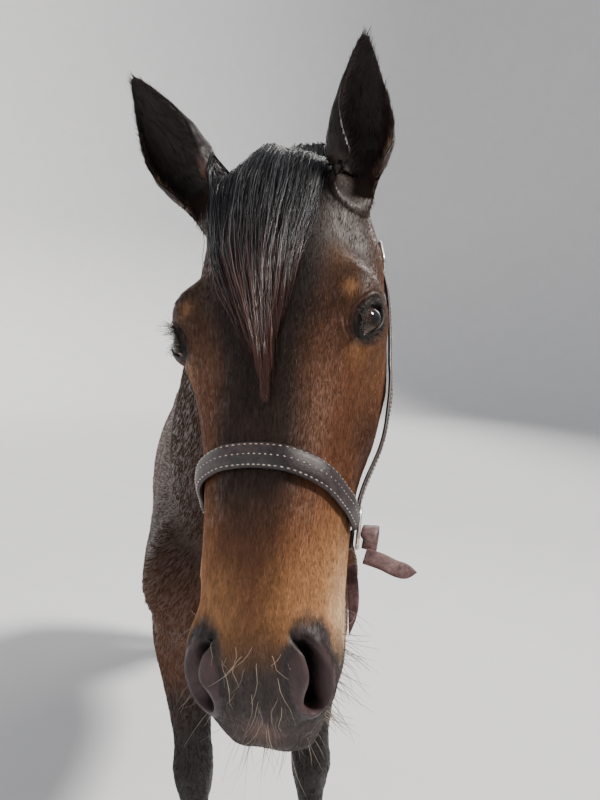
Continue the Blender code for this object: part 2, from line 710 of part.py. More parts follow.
def open_eye(head, centre, side):
    """Lids over the eyeball, parted by an almond opening."""
    turn = HEAD_FRAME.to_3x3().to_4x4()
    lids = ellipsoid("lids", centre, (EYE_RADIUS + GAP + LID_THICKNESS,) * 3, turn, EYE_SEGMENTS)
    combine(head, [lids], "UNION")
    socket = ellipsoid("socket", centre, (EYE_RADIUS + GAP,) * 3, turn, EYE_SEGMENTS)
    out = eye_axis(side)
    length = head_direction(EYE_SLANT[0] * side, *EYE_SLANT[1:])
    length = (length - out * length.dot(out)).normalized()
    basis = Matrix((out, length, out.cross(length))).transposed().to_4x4()
    opening = ellipsoid("opening", centre + out * (EYE_RADIUS + EYE_PROUD), EYE_OPENING, basis, EYE_SEGMENTS)
    combine(head, [opening], "DIFFERENCE")
    combine(head, [socket], "DIFFERENCE")


def make_ear(name, foot, tip, facing, half, head):
    """An ear as a tapering shell: a leaf-shaped loft with a cup cut in from the side that it opens to."""
    foot, tip = at_head(*foot), Vector(tip)
    axis = tip - foot
    bow = Vector((math.copysign(EAR_BOW, foot.x - at_head(0, 0, 0).x), 0, 0))
    forward = Vector(facing)
    forward = (forward - axis * forward.dot(axis) / axis.length_squared).normalized()
    side = axis.cross(forward).normalized()
    outer, inner = [], []
    for share, wide, deep in EAR_SECTIONS:
        swing = math.sin(math.pi * max(0, share))
        middle = foot + axis * share - forward * half * EAR_BACK_BOW * swing + bow * swing
        reach = forward * deep * half
        outer.append((middle + reach, middle - reach, side, wide * half, 0.5, 2, 2))
        wall = min(EAR_WALL, wide * half * 0.45)
        if share > 0:
            front = middle + reach + forward * half * EAR_CUP_OPENING
            back = middle - forward * max(deep * half - wall * 1.2, 0.001)
            inner.append((front, back, side, wide * half - wall * 0.8, 0.4, 2, 2))
    ear = loft(name, flat_rows(outer), around=12, spacing=0.05)
    cup = loft("cup", flat_rows(inner[:-1]), around=8, spacing=0.05)
    fit_against(ear, [head])
    combine(ear, [cup], "DIFFERENCE")
    return ear


def surface_of(item):
    """A searchable copy of an object's surface."""
    shape = bmesh.new()
    shape.from_mesh(item.data)
    tree = BVHTree.FromBMesh(shape)
    shape.free()
    return tree


def cut_nostril(head, side):
    """A nostril: a long opening that faces forwards and out, and narrows as it runs up into the nose."""
    slit = head_direction(NOSTRIL_SLIT[0] * side, *NOSTRIL_SLIT[1:])
    middles = [at_head(across * side, along, height) for (across, along, height), _, _ in NOSTRIL]
    run = middles[-1] - middles[0]
    long = (slit - run * slit.dot(run) / run.length_squared).normalized()
    wide = run.cross(long)
    rows = []
    for middle, (_, half_long, half_wide) in zip(middles, NOSTRIL):
        rows.append((middle - long * half_long, middle + long * half_long, wide, half_wide, 0.4, 1.8, 2))
    return combine(head, [loft("nostril", flat_rows(rows), around=14, spacing=0.02)], "DIFFERENCE")


def cut_mouth(head):
    """The line of the mouth: a round groove along the lips from corner to corner."""
    tree = surface_of(head)
    curve = bpy.data.curves.new("mouth", "CURVE")
    curve.dimensions = "3D"
    curve.bevel_depth = MOUTH_GROOVE
    curve.bevel_resolution = 1
    curve.use_fill_caps = True
    spline = curve.splines.new("POLY")
    turns = np.radians(np.linspace(-MOUTH_TURN, MOUTH_TURN, MOUTH_POINTS))
    spline.points.add(MOUTH_POINTS - 1)
    for point, turn in zip(spline.points, turns):
        middle = at_head(0, MOUTH_MIDDLE, MOUTH_HEIGHT - MOUTH_DROP * (1 - math.cos(turn)))
        way = head_direction(math.sin(turn), math.cos(turn), 0)
        point.co = (*tree.ray_cast(middle, way)[0], 1)
    return combine(head, [mesh_from_curve("mouth", curve)], "DIFFERENCE")


def mesh_from_curve(name, curve):
    """A closed mesh object in place of a curve with filled caps."""
    item = add_object(name, curve)
    graph = bpy.context.evaluated_depsgraph_get()
    mesh = bpy.data.meshes.new_from_object(item.evaluated_get(graph))
    bpy.data.objects.remove(item, do_unlink=True)
    shape = bmesh.new()
    shape.from_mesh(mesh)
    bmesh.ops.remove_doubles(shape, verts=shape.verts, dist=1e-5)
    bmesh.ops.recalc_face_normals(shape, faces=shape.faces)
    shape.to_mesh(mesh)
    shape.free()
    return add_object(name, mesh)


def make_strap(name, tree, route, size, slack):
    """A flat strap laid on the surface along a smooth curve through guide points on the head. Slack is
    how far its middle hangs clear."""
    width, thickness = size
    guides = np.array([tuple(at_head(*guide)) for guide in route])
    rows = smooth_rows(np.hstack([guides, guides]), STRAP_STATION / 4)[:, :3]
    line = np.array([tuple(tree.find_nearest(Vector(point))[0]) for point in rows])
    length = np.concatenate([[0], np.cumsum(np.linalg.norm(np.diff(line, axis=0), axis=1))])
    count = max(3, round(length[-1] / STRAP_STATION))
    stations = np.linspace(0, length[-1], count + 1)
    even = np.stack([np.interp(stations, length, column) for column in line.T], axis=1)
    ahead = np.gradient(even, axis=0)
    rings = []
    for k, (place, way) in enumerate(zip(even, ahead)):
        way = Vector(way).normalized()
        normal = tree.find_nearest(Vector(place))[1]
        side = normal.cross(way).normalized()
        off = STRAP_CLEARANCE + slack * math.sin(math.pi * k / count)
        inner, outer = [], []
        for share in (-0.5, 0, 0.5):
            foot = tree.find_nearest(Vector(place) + side * width * share)[0]
            inner.append(foot + normal * off)
            outer.append(foot + normal * (off + thickness * (1.0 if share == 0 else 0.8)))
        rings.append([tuple(p) for p in inner + outer[::-1]])
    return object_from_rings(name, np.array(rings))


def make_ring(name, tree, guide):
    """A square wire ring with round corners, lying on the surface."""
    place, normal, _, _ = tree.find_nearest(at_head(*guide))
    up = head_direction(0, -1, 0)
    up = (up - normal * up.dot(normal)).normalized()
    side = normal.cross(up)
    place = place + normal * (STRAP_CLEARANCE + 2 * RING_WIRE)
    corner = RING_SIZE[0] / 5
    curve = bpy.data.curves.new(name, "CURVE")
    curve.dimensions = "3D"
    curve.bevel_depth = RING_WIRE
    curve.bevel_resolution = 0
    spline = curve.splines.new("POLY")
    spline.points.add(11)
    for k, point in enumerate(spline.points):
        quarter, step = divmod(k, 3)
        angle = math.pi / 2 * quarter + math.pi / 4 * step
        x = (1 if quarter in (0, 3) else -1) * (RING_SIZE[0] / 2 - corner) + corner * math.cos(angle)
        y = (1 if quarter in (0, 1) else -1) * (RING_SIZE[1] / 2 - corner) + corner * math.sin(angle)
        point.co = (*(place + side * x + up * y), 1)
    spline.use_cyclic_u = True
    return mesh_from_curve(name, curve)


def mirrored(route):
    return tuple((-across, along, height) for across, along, height in route)


def make_halter(tree, bases):
    """The halter's rings, and its straps laid on the head and cut clear of the rings that they join."""
    rings = {"halter_chin_ring": make_ring("halter_chin_ring", tree, CHIN_RING)}
    for name, guide in RINGS.items():
        rings[f"halter_{name}"] = make_ring(f"halter_{name}", tree, guide)
    routes = {
        "halter_noseband": (NOSEBAND, NOSEBAND_ROUTE),
        "halter_crown": (STRAP, CROWN_ROUTE),
        "halter_throat_strap": (STRAP, THROAT_ROUTE),
        "halter_center_strap": (STRAP, CENTER_ROUTE),
        "halter_cheek_left": (STRAP, CHEEK_ROUTE),
        "halter_cheek_right": (STRAP, mirrored(CHEEK_ROUTE)),
        "halter_chin_strap_left": (STRAP, CHIN_ROUTE),
        "halter_chin_strap_right": (STRAP, mirrored(CHIN_ROUTE)),
    }
    pieces = dict(rings)
    for name, (size, route) in routes.items():
        strap = make_strap(name, tree, route, size, CHEEK_SLACK if "cheek" in name else 0)
        pieces[name] = fit_against(strap, [*bases, *rings.values()])
    return pieces


def make_lock(name, path, outward, width, thickness):
    """A flat lock along a path, with a ridge along its outside. It is widest a third of the way down and
    tapers to the tip."""
    path, outward = np.array(path, float), np.array(outward, float)
    ahead = np.gradient(path, axis=0)
    ahead /= np.linalg.norm(ahead, axis=1)[:, None]
    side = np.cross(ahead, outward)
    side /= np.linalg.norm(side, axis=1)[:, None]
    out = np.cross(side, ahead)
    share = np.linspace(0, 1, len(path))
    taper = np.interp(share, LOCK_TAPER[0], LOCK_TAPER[1])[:, None]
    wide, thick = side * taper * width / 2, out * taper**0.5 * thickness
    return object_from_rings(name, np.stack([path + wide, path + thick, path - wide], axis=1))


def neck_crest(share):
    """The point of the crest at a share of the way from the poll to the withers."""
    rows = [(x, y, z) for x, y, z, *_ in NECK[::-1][:-1]]
    place = share * (len(rows) - 1)
    return np.array([np.interp(place, range(len(rows)), column) for column in zip(*rows)])


def make_mane(tree, draw):
    """Locks that rise from the crest, turn over to the left and hang straight down the neck's side, in
    two layers whose locks lie over each other's gaps."""
    locks = []
    for layer in range(MANE_LAYERS):
        for i in range(MANE_LOCKS):
            step = (i + 0.5 * layer + draw.uniform(-0.15, 0.15)) / MANE_LOCKS
            share = MANE_SPAN[0] + (MANE_SPAN[1] - MANE_SPAN[0]) * step
            crest = neck_crest(share)
            length = MANE_LENGTH * draw.uniform(0.8, 1.1) * (0.75 + 0.5 * math.sin(math.pi * share))
            sway = MANE_SWAY * math.sin(share * 17 + 2 * layer)
            lift = MANE_LIFT + MANE_LAYER_STEP * layer
            inset = MANE_INSET - (MANE_INSET + 0.002) * layer
            path = [crest + (inset - 0.01, 0, -0.035), crest + (inset + 0.006, 0, lift - 0.008)]
            outward = [Vector((0.3, 0, 1)), Vector((0.5, 0, 1))]
            for fall in MANE_FALLS:
                y = crest[1] + sway * math.sin(3 * fall)
                z = crest[2] - length * fall
                place, normal, _, _ = tree.ray_cast(Vector((MANE_OUTSIDE, y, z)), Vector((-1, 0, 0)))
                if place is None or place.x < path[-1][0] - MANE_OUTSIDE / 8:
                    place, normal = Vector((path[-1][0] - lift, y, z)), Vector((1, 0, 0))
                path.append(place + normal * lift)
                outward.append(normal)
            width = MANE_WIDTH * draw.uniform(0.85, 1.0)
            locks.append(make_lock("mane lock", path, outward, width, LOCK_THICKNESS))
    return locks


def make_forelock(tree, draw):
    """Locks from the poll, between the ears, that run together down the forehead. Each lies higher than
    the one beside it, in turns of three."""
    locks = []
    for i in range(FORELOCK_LOCKS):
        spread = (i + 0.5) / FORELOCK_LOCKS * 2 - 1
        across = FORELOCK_MIDDLE + FORELOCK_HALF_WIDTH * spread
        tip = FORELOCK_TIP + FORELOCK_HALF_WIDTH * FORELOCK_GATHER * spread
        last = FORELOCK_END * draw.uniform(0.88, 1.05) * (1 - 0.3 * spread**2)
        lift = FORELOCK_LIFTS[i % len(FORELOCK_LIFTS)]
        path, outward = [], []
        for share in FORELOCK_SHARES:
            v = across + (tip - across) * share**0.8
            u = FORELOCK_ROOT + (last - FORELOCK_ROOT) * share
            place, normal, _, _ = tree.ray_cast(at_head(v, u, -0.06), head_direction(v * 2, 0, 1))
            path.append(place + normal * lift)
            outward.append(normal)
        root = path[0] - outward[0] * (lift + FORELOCK_SUNK) - head_direction(0, 1, 0) * FORELOCK_SUNK / 2
        path.insert(0, root)
        outward.insert(0, outward[0])
        width = FORELOCK_WIDTH * draw.uniform(0.85, 1)
        locks.append(make_lock("forelock lock", path, outward, width, LOCK_THICKNESS))
    return locks


def make_tail_locks(draw):
    """Locks that leave the dock all round and hang down, in layers from the outside in."""
    heights = [row[1] for row in TAIL][::-1]
    columns = [[row[i] for row in TAIL][::-1] for i in (0, 2, 3)]
    locks = []
    for count, reach, low in TAIL_LAYERS:
        for i in range(count):
            angle = (i + draw.uniform(-0.2, 0.2)) / count * 2 * math.pi
            top = draw.uniform(*(TAIL_OUTER_TOPS if reach > 0.8 else TAIL_INNER_TOPS))
            bottom = low * draw.uniform(0.9, 1.35)
            path, outward = [], []
            for share in TAIL_SHARES:
                z = top + (bottom - top) * share
                y, depth, half = (np.interp(z, heights, column) for column in columns)
                turn = angle + TAIL_TWIST * share
                out = reach * (TAIL_ROOT if share == 0 else 1.0) * (1 - TAIL_GATHER * share)
                path.append((half * out * math.sin(turn), y + depth * out * math.cos(turn), z))
                outward.append((math.sin(turn), math.cos(turn), 0))
            width = TAIL_WIDTH * draw.uniform(0.85, 1.15)
            locks.append(make_lock("tail lock", path, outward, width, TAIL_THICKNESS))
    return locks


def make_feather(table, line, side, tree, draw):
    """The long hair of a fetlock: locks from the back of the cannon down over the heel."""
    heights, fronts, backs = ([row[i] for row in table][::-1] for i in range(3))
    locks = []
    for i in range(FEATHER_LOCKS):
        turn = FEATHER_TURN * (2 * (i + 0.5) / FEATHER_LOCKS - 1)
        way = Vector((math.sin(turn), math.cos(turn), 0))
        top = FEATHER_TOP - FEATHER_SLOPE * abs(turn) / math.pi + draw.uniform(-0.02, 0.02)
        bottom = FEATHER_TIP * draw.uniform(0.9, 1.7)
        path = []
        for share in FEATHER_SHARES:
            z = top + (bottom - top) * share
            y = (np.interp(z, heights, fronts) + np.interp(z, heights, backs)) / 2
            middle = Vector((line * side, y, z))
            place = tree.ray_cast(middle + way * 0.2, -way)[0] or middle + way * 0.05
            lift = FEATHER_LIFT + FEATHER_STEP * (i % 2) + FEATHER_FLARE * share * math.cos(turn / 1.4)
            path.append(tuple(place + way * (lift if share else -FEATHER_SUNK)))
        width = FEATHER_WIDTH * draw.uniform(0.85, 1.15)
        locks.append(make_lock("feather lock", path, [tuple(way)] * len(path), width, LOCK_THICKNESS))
    return locks


def finish(name, item, finish_name, root):
    """Name a piece, give it its finish, shade it smooth but for its edges, and place it."""
    item.name = name
    item.data.name = name
    for home in list(item.users_collection):
        home.objects.unlink(item)
    collection("Heavy horse").objects.link(item)
    item.hide_render = False
    item.display_type = "TEXTURED"
    item.data.materials.clear()
    item.data.materials.append(finish_material(finish_name))
    for polygon in item.data.polygons:
        polygon.material_index = 0
    item.data.shade_smooth()
    item.data.set_sharp_from_angle(angle=math.radians(50))
    item.parent = root


def main():
    clear_scene()
    root = bpy.data.objects.new("stance", None)
    collection("Heavy horse").objects.link(root)
    root.location = STANCE_SHIFT

    flesh = make_flesh()
    tree = surface_of(flesh)
    torso, neck, head = part_flesh(flesh)
    pieces = {"torso": (torso, "bay coat")}
    draw = random.Random(7)
    legs = []

    for side_name, side in SIDES.items():
        for name, table, line in (("foreleg", FORELEG, FORELEG_X), ("hindleg", HINDLEG, HINDLEG_X)):
            leg = make_leg(f"{name}_{side_name}", table, line, side, torso)
            hoof = make_hoof(f"hoof_{name}_{side_name}", table[-1], line * side)
            combine(leg, make_feather(table, line, side, surface_of(leg), draw), "UNION")
            fit_against(leg, [hoof])
            legs.append(leg)
            pieces[leg.name] = (leg, "bay coat")
            pieces[hoof.name] = (hoof, "hoof horn")
        centre = eye_centre(tree, side)
        open_eye(head, centre, side)
        cut_nostril(head, side)
        pieces[f"eye_{side_name}"] = (make_eye(f"eye_{side_name}", centre), "eye")
    cut_mouth(head)
    tail = make_dock(torso)
    combine(tail, make_tail_locks(draw), "UNION")
    fit_against(tail, [torso, *legs])
    pieces["tail"] = (tail, "black hair")
    combine(head, make_forelock(tree, draw), "UNION")
    combine(neck, make_mane(tree, draw), "UNION")
    for side_name, (foot, tip, facing, half) in EARS.items():
        ear = make_ear(f"ear_{side_name}", foot, tip, facing, half, head)
        fit_against(ear, [neck])
        pieces[ear.name] = (ear, "bay coat")
    for name, piece in make_halter(tree, [head, neck]).items():
        pieces[name] = (piece, "steel" if "ring" in name else "brown leather")
    pieces["head"] = (head, "bay coat")
    pieces["neck"] = (neck, "bay coat")
    bpy.data.objects.remove(flesh, do_unlink=True)

    for name, (item, finish_name) in pieces.items():
        finish(name, item, finish_name, root)
    for name in ("Operands", "Cutters"):
        spare = bpy.data.collections.get(name)
        if spare:
            bpy.data.collections.remove(spare)


if __name__ == "__main__":
    main()
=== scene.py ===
"""The looks of a heavy horse that stands in a leather halter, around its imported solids.

Metres, +Z up. Shapes are worked out in the horse's own frame, whose origin is on the ground below the
girth with the horse facing -Y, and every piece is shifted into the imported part's frame as it is made.
"""

import math

import bpy
import numpy as np
from bpy.props import FloatProperty, FloatVectorProperty, PointerProperty
from mathutils import Matrix, Vector
from mathutils.bvhtree import BVHTree


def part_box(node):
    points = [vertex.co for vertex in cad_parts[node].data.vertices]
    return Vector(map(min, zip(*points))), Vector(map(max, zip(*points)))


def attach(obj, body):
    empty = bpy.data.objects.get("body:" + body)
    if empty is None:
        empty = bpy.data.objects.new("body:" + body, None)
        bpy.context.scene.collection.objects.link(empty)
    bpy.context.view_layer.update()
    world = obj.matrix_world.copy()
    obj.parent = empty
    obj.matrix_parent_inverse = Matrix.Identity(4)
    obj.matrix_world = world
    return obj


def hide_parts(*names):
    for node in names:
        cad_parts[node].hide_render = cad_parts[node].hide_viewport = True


bl_info = {
    "name": "Heavy horse in a halter",
    "version": (1, 0, 0),
    "blender": (4, 5, 0),
    "location": "3D View > Sidebar > Horse",
    "description": "Skin, coat, long hair, eyes, hooves and halter of a bay heavy horse",
    "category": "Add Mesh",
}

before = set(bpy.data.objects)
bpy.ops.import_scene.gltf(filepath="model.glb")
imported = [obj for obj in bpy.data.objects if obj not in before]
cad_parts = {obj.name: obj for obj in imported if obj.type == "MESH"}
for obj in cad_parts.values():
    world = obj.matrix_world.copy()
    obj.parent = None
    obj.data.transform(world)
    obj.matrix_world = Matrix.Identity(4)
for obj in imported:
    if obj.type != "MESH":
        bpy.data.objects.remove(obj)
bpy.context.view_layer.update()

# The horse's own frame
STANCE_SHIFT = np.array((0.0, 0.228, 0.0))
POLL = (0.025, -1.265, 1.9)
HEAD_FROM_VERTICAL = math.radians(-32)
HEAD_YAW = math.radians(-20)
HEAD_ROLL = math.radians(-6.5)
FORELEG_X = 0.165
HINDLEG_X = 0.155
HOOF_HEIGHT = 0.092
SIDES = {"left": 1, "right": -1}

# Sections of the trunk: distance back, top, bottom, half width, share of the height above the widest
# place, and how square the upper and the lower half are (2 is an ellipse)
TRUNK = (
    (-0.752, 1.13, 1.03, 0.05, 0.5, 2.0, 2.0),
    (-0.735, 1.20, 0.98, 0.125, 0.5, 2.0, 2.1),
    (-0.69, 1.27, 0.93, 0.20, 0.5, 2.1, 2.3),
    (-0.60, 1.38, 0.885, 0.24, 0.5, 2.0, 2.5),
    (-0.44, 1.58, 0.85, 0.262, 0.58, 1.75, 2.5),
    (-0.25, 1.68, 0.825, 0.29, 0.6, 1.7, 2.4),
    (-0.03, 1.645, 0.815, 0.33, 0.57, 1.9, 2.3),
    (0.18, 1.605, 0.84, 0.345, 0.54, 2.05, 2.25),
    (0.38, 1.62, 0.895, 0.335, 0.5, 2.1, 2.2),
    (0.56, 1.665, 0.97, 0.31, 0.48, 2.1, 2.2),
    (0.74, 1.66, 1.04, 0.28, 0.45, 2.0, 2.2),
    (0.89, 1.585, 1.10, 0.215, 0.45, 2.0, 2.2),
    (0.985, 1.475, 1.18, 0.11, 0.5, 2.0, 2.0),
)
# Sections of the neck: place across, crest (back, up), underside (back, up), half width
NECK = (
    (0.0, -0.20, 1.62, -0.56, 1.02, 0.205),
    (0.0, -0.38, 1.715, -0.72, 1.15, 0.205),
    (0.0, -0.58, 1.80, -0.805, 1.285, 0.172),
    (0.004, -0.79, 1.885, -0.89, 1.415, 0.14),
    (0.01, -1.0, 1.945, -0.98, 1.53, 0.115),
    (0.017, -1.155, 1.955, -1.055, 1.61, 0.102),
    (0.025, -1.255, 1.91, -1.13, 1.68, 0.087),
)
# Sections of the head, in its own frame: distance from the poll towards the muzzle, height of the face
# and of the jaw above the face line, half width, share of the height above the widest place, and how
# square the upper and the lower half are
HEAD = (
    (-0.05, -0.045, -0.15, 0.052, 0.5, 2.0, 2.0),
    (0.0, -0.002, -0.205, 0.088, 0.34, 2.4, 2.0),
    (0.05, 0.012, -0.262, 0.102, 0.34, 2.5, 2.0),
    (0.105, 0.018, -0.295, 0.110, 0.35, 2.3, 2.0),
    (0.165, 0.022, -0.302, 0.116, 0.31, 2.5, 1.8),
    (0.22, 0.022, -0.288, 0.118, 0.27, 2.7, 1.6),
    (0.265, 0.018, -0.270, 0.110, 0.29, 2.7, 1.6),
    (0.315, 0.013, -0.247, 0.097, 0.34, 2.5, 1.7),
    (0.37, 0.009, -0.220, 0.087, 0.40, 2.4, 1.8),
    (0.43, 0.004, -0.192, 0.079, 0.44, 2.4, 1.9),
    (0.485, -0.002, -0.170, 0.073, 0.47, 2.5, 2.1),
    (0.53, -0.008, -0.160, 0.070, 0.47, 2.6, 2.2),
    (0.57, -0.016, -0.157, 0.069, 0.46, 2.6, 2.2),
    (0.605, -0.030, -0.154, 0.066, 0.46, 2.5, 2.2),
    (0.634, -0.052, -0.148, 0.056, 0.48, 2.4, 2.2),
    (0.655, -0.082, -0.134, 0.033, 0.5, 2.2, 2.2),
)
# Sections of a foreleg and of a hind leg, from the top down: height, front, back, place across from
# the leg's own line, half width
FORELEG = (
    (1.18, -0.62, -0.46, 0.0, 0.04),
    (1.06, -0.66, -0.38, 0.012, 0.072),
    (0.95, -0.64, -0.33, 0.018, 0.086),
    (0.85, -0.59, -0.36, 0.018, 0.082),
    (0.75, -0.562, -0.395, 0.012, 0.070),
    (0.64, -0.545, -0.428, 0.005, 0.058),
    (0.565, -0.542, -0.438, 0.0, 0.054),
    (0.50, -0.548, -0.436, 0.0, 0.058),
    (0.44, -0.538, -0.434, 0.0, 0.052),
    (0.38, -0.525, -0.441, 0.0, 0.040),
    (0.28, -0.522, -0.438, 0.0, 0.037),
    (0.215, -0.534, -0.432, 0.0, 0.047),
    (0.165, -0.552, -0.446, 0.0, 0.048),
    (0.125, -0.582, -0.478, 0.0, 0.048),
    (HOOF_HEIGHT + 0.0003, -0.608, -0.488, 0.0, 0.058),
)
HINDLEG = (
    (1.42, 0.50, 0.93, -0.02, 0.06),
    (1.28, 0.46, 1.005, 0.02, 0.105),
    (1.14, 0.465, 1.025, 0.035, 0.115),
    (1.02, 0.50, 0.995, 0.035, 0.11),
    (0.92, 0.575, 0.955, 0.03, 0.092),
    (0.82, 0.665, 0.935, 0.022, 0.073),
    (0.735, 0.745, 0.96, 0.015, 0.058),
    (0.675, 0.805, 1.01, 0.008, 0.053),
    (0.625, 0.845, 1.03, 0.0, 0.055),
    (0.56, 0.875, 1.01, 0.0, 0.053),
    (0.48, 0.888, 0.985, 0.0, 0.043),
    (0.38, 0.892, 0.975, 0.0, 0.037),
    (0.28, 0.892, 0.978, 0.0, 0.038),
    (0.215, 0.880, 0.988, 0.0, 0.048),
    (0.165, 0.862, 0.971, 0.0, 0.048),
    (0.125, 0.832, 0.938, 0.0, 0.048),
    (HOOF_HEIGHT + 0.0003, 0.804, 0.925, 0.0, 0.058),
)
# How square a leg's sections are
LEG_SQUARE = 2.1
# Sections of the dock: back, up, half depth, half width
DOCK = (
    (0.86, 1.545, 0.04, 0.04),
    (0.95, 1.515, 0.05, 0.05),
    (1.02, 1.43, 0.044, 0.049),
    (1.06, 1.30, 0.034, 0.04),
    (1.075, 1.10, 0.022, 0.03),
)
# Forms of the trunk and of the head, raised or hollow, in the trunk's and the head's own measures: place,
# three radii, and how far the surface moves out there
TRUNK_FORMS = {
    "shoulder blade": ((0.20, -0.36, 1.38), (0.10, 0.10, 0.22), 0.022),
    "point of the shoulder": ((0.20, -0.66, 1.10), (0.09, 0.08, 0.12), 0.035),
    "breast": ((0.09, -0.75, 1.05), (0.07, 0.08, 0.12), 0.03),
    "middle of the breast": ((0.0, -0.76, 1.08), (0.03, 0.08, 0.12), -0.012),
    "upper arm": ((0.26, -0.47, 1.05), (0.12, 0.16, 0.12), 0.04),
    "hollow behind the shoulder": ((0.30, -0.17, 1.22), (0.12, 0.06, 0.2), -0.012),
    "point of the hip": ((0.27, 0.42, 1.50), (0.08, 0.06, 0.06), 0.014),
    "hollow of the flank": ((0.32, 0.42, 1.22), (0.1, 0.09, 0.14), -0.02),
    "haunch": ((0.28, 0.66, 1.36), (0.12, 0.16, 0.2), 0.024),
    "buttock": ((0.14, 0.95, 1.28), (0.10, 0.10, 0.16), 0.03),
    "furrow of the croup": ((0.0, 0.72, 1.67), (0.035, 0.2, 0.05), -0.012),
}
HEAD_FORMS = {
    "brow": ((0.102, 0.206, -0.010), (0.03, 0.038, 0.022), 0.013),
    "temple": ((0.100, 0.112, -0.072), (0.04, 0.048, 0.04), 0.013),
    "root of the ear": ((0.096, 0.045, -0.022), (0.036, 0.036, 0.03), 0.022),
    "hollow above the eye": ((0.096, 0.148, -0.016), (0.028, 0.026, 0.026), -0.009),
    "eye swelling": ((0.116, 0.238, -0.045), (0.05, 0.052, 0.042), 0.014),
    "face crest": ((0.093, 0.325, -0.088), (0.03, 0.06, 0.012), 0.006),
    "cheek": ((0.093, 0.155, -0.190), (0.06, 0.085, 0.07), 0.012),
    "front of the cheek": ((0.090, 0.275, -0.160), (0.06, 0.065, 0.06), 0.018),
    "below the crest": ((0.088, 0.345, -0.118), (0.045, 0.05, 0.045), 0.010),
    "corner of the lips": ((0.055, 0.630, -0.125), (0.03, 0.03, 0.035), -0.008),
    "hollow beside the nose bone": ((0.062, 0.42, -0.05), (0.03, 0.06, 0.02), -0.005),
    "nostril wing": ((0.062, 0.59, -0.068), (0.026, 0.038, 0.03), 0.010),
    "hollow behind the nostril": ((0.058, 0.54, -0.05), (0.02, 0.022, 0.024), -0.006),
    "upper lip": ((0.03, 0.64, -0.10), (0.04, 0.02, 0.02), 0.006),
    "chin": ((0.0, 0.59, -0.162), (0.045, 0.03, 0.02), 0.012),
}
# Places in the horse's frame where the skin runs smoothly from one form into the next: middle and radii
SOFT_PLACES = {
    "throat": ((0.03, -1.08, 1.68), (0.16, 0.10, 0.16)),
    "base of the neck": ((0.0, -0.52, 1.42), (0.40, 0.16, 0.40)),
    "breast": ((0.0, -0.72, 1.20), (0.30, 0.10, 0.12)),
    "top of the left foreleg": ((0.19, -0.50, 1.0), (0.16, 0.24, 0.16)),
    "top of the right foreleg": ((-0.19, -0.50, 1.0), (0.16, 0.24, 0.16)),
    "top of the left hind leg": ((0.19, 0.74, 1.22), (0.20, 0.36, 0.26)),
    "top of the right hind leg": ((-0.19, 0.74, 1.22), (0.20, 0.36, 0.26)),
    "root of the dock": ((0.0, 0.93, 1.50), (0.10, 0.10, 0.10)),
}


class HorseSettings(bpy.types.PropertyGroup):
    """Sizes and colours of the body and its coat."""

    voxel: FloatProperty(
        name="Skin detail", description="Edge of a voxel where the body's forms are joined",
        default=0.030, min=0.02, max=0.08, unit="LENGTH",
    )
    coat_depth: FloatProperty(
        name="Coat depth", description="How far the skin lies inside the solids",
        default=0.0015, min=0.0, max=0.01, unit="LENGTH",
    )
    bay: FloatVectorProperty(
        name="Bay", description="Colour of the body's coat", default=(0.050, 0.020, 0.010),
        min=0, max=1, subtype="COLOR",
    )
    black: FloatVectorProperty(
        name="Black points", description="Colour of the legs, nose bridge and ear rims",
        default=(0.010, 0.007, 0.006), min=0, max=1, subtype="COLOR",
    )
    red: FloatVectorProperty(
        name="Red bay", description="Colour of the cheeks and flanks",
        default=(0.105, 0.038, 0.016), min=0, max=1, subtype="COLOR",
    )
    tan: FloatVectorProperty(
        name="Tan", description="Colour of the muzzle's sides and round the eyes",
        default=(0.33, 0.155, 0.062), min=0, max=1, subtype="COLOR",
    )
    grey: FloatVectorProperty(
        name="Muzzle grey", description="Colour of the skin of nostrils and lips",
        default=(0.040, 0.033, 0.032), min=0, max=1, subtype="COLOR",
    )


def settings():
    """The scene's settings of the horse."""
    return bpy.context.scene.horse_settings


def head_matrix():
    """The head's own frame: left, away from the face, up the face line, with its origin at the poll."""
    return (
        Matrix.Translation(POLL)
        @ Matrix.Rotation(HEAD_YAW, 4, "Z")
        @ Matrix.Rotation(HEAD_ROLL, 4, "Y")
        @ Matrix.Rotation(HEAD_FROM_VERTICAL, 4, "X")
    )


HEAD_FRAME = np.array(head_matrix())
HEAD_FRAME_BACK = np.linalg.inv(HEAD_FRAME)


def at_head(places):
    """Points from places across the head, along it from the poll, and above the face line."""
    places = np.asarray(places, float)
    local = np.stack([places[..., 0], -places[..., 2], -places[..., 1]], axis=-1)
    return local @ HEAD_FRAME[:3, :3].T + HEAD_FRAME[:3, 3]


def head_directions(ways):
    """Directions from parts across the head, along it, and away from the face."""
    return at_head(ways) - HEAD_FRAME[:3, 3]


def head_places(points):
    """Places across the head, along it from the poll, and above the face line."""
    local = points @ HEAD_FRAME_BACK[:3, :3].T + HEAD_FRAME_BACK[:3, 3]
    return np.stack([local[..., 0], -local[..., 2], -local[..., 1]], axis=-1)


def unit(vectors):
    """Vectors at length one."""
    return vectors / np.maximum(np.linalg.norm(vectors, axis=-1, keepdims=True), 1e-12)


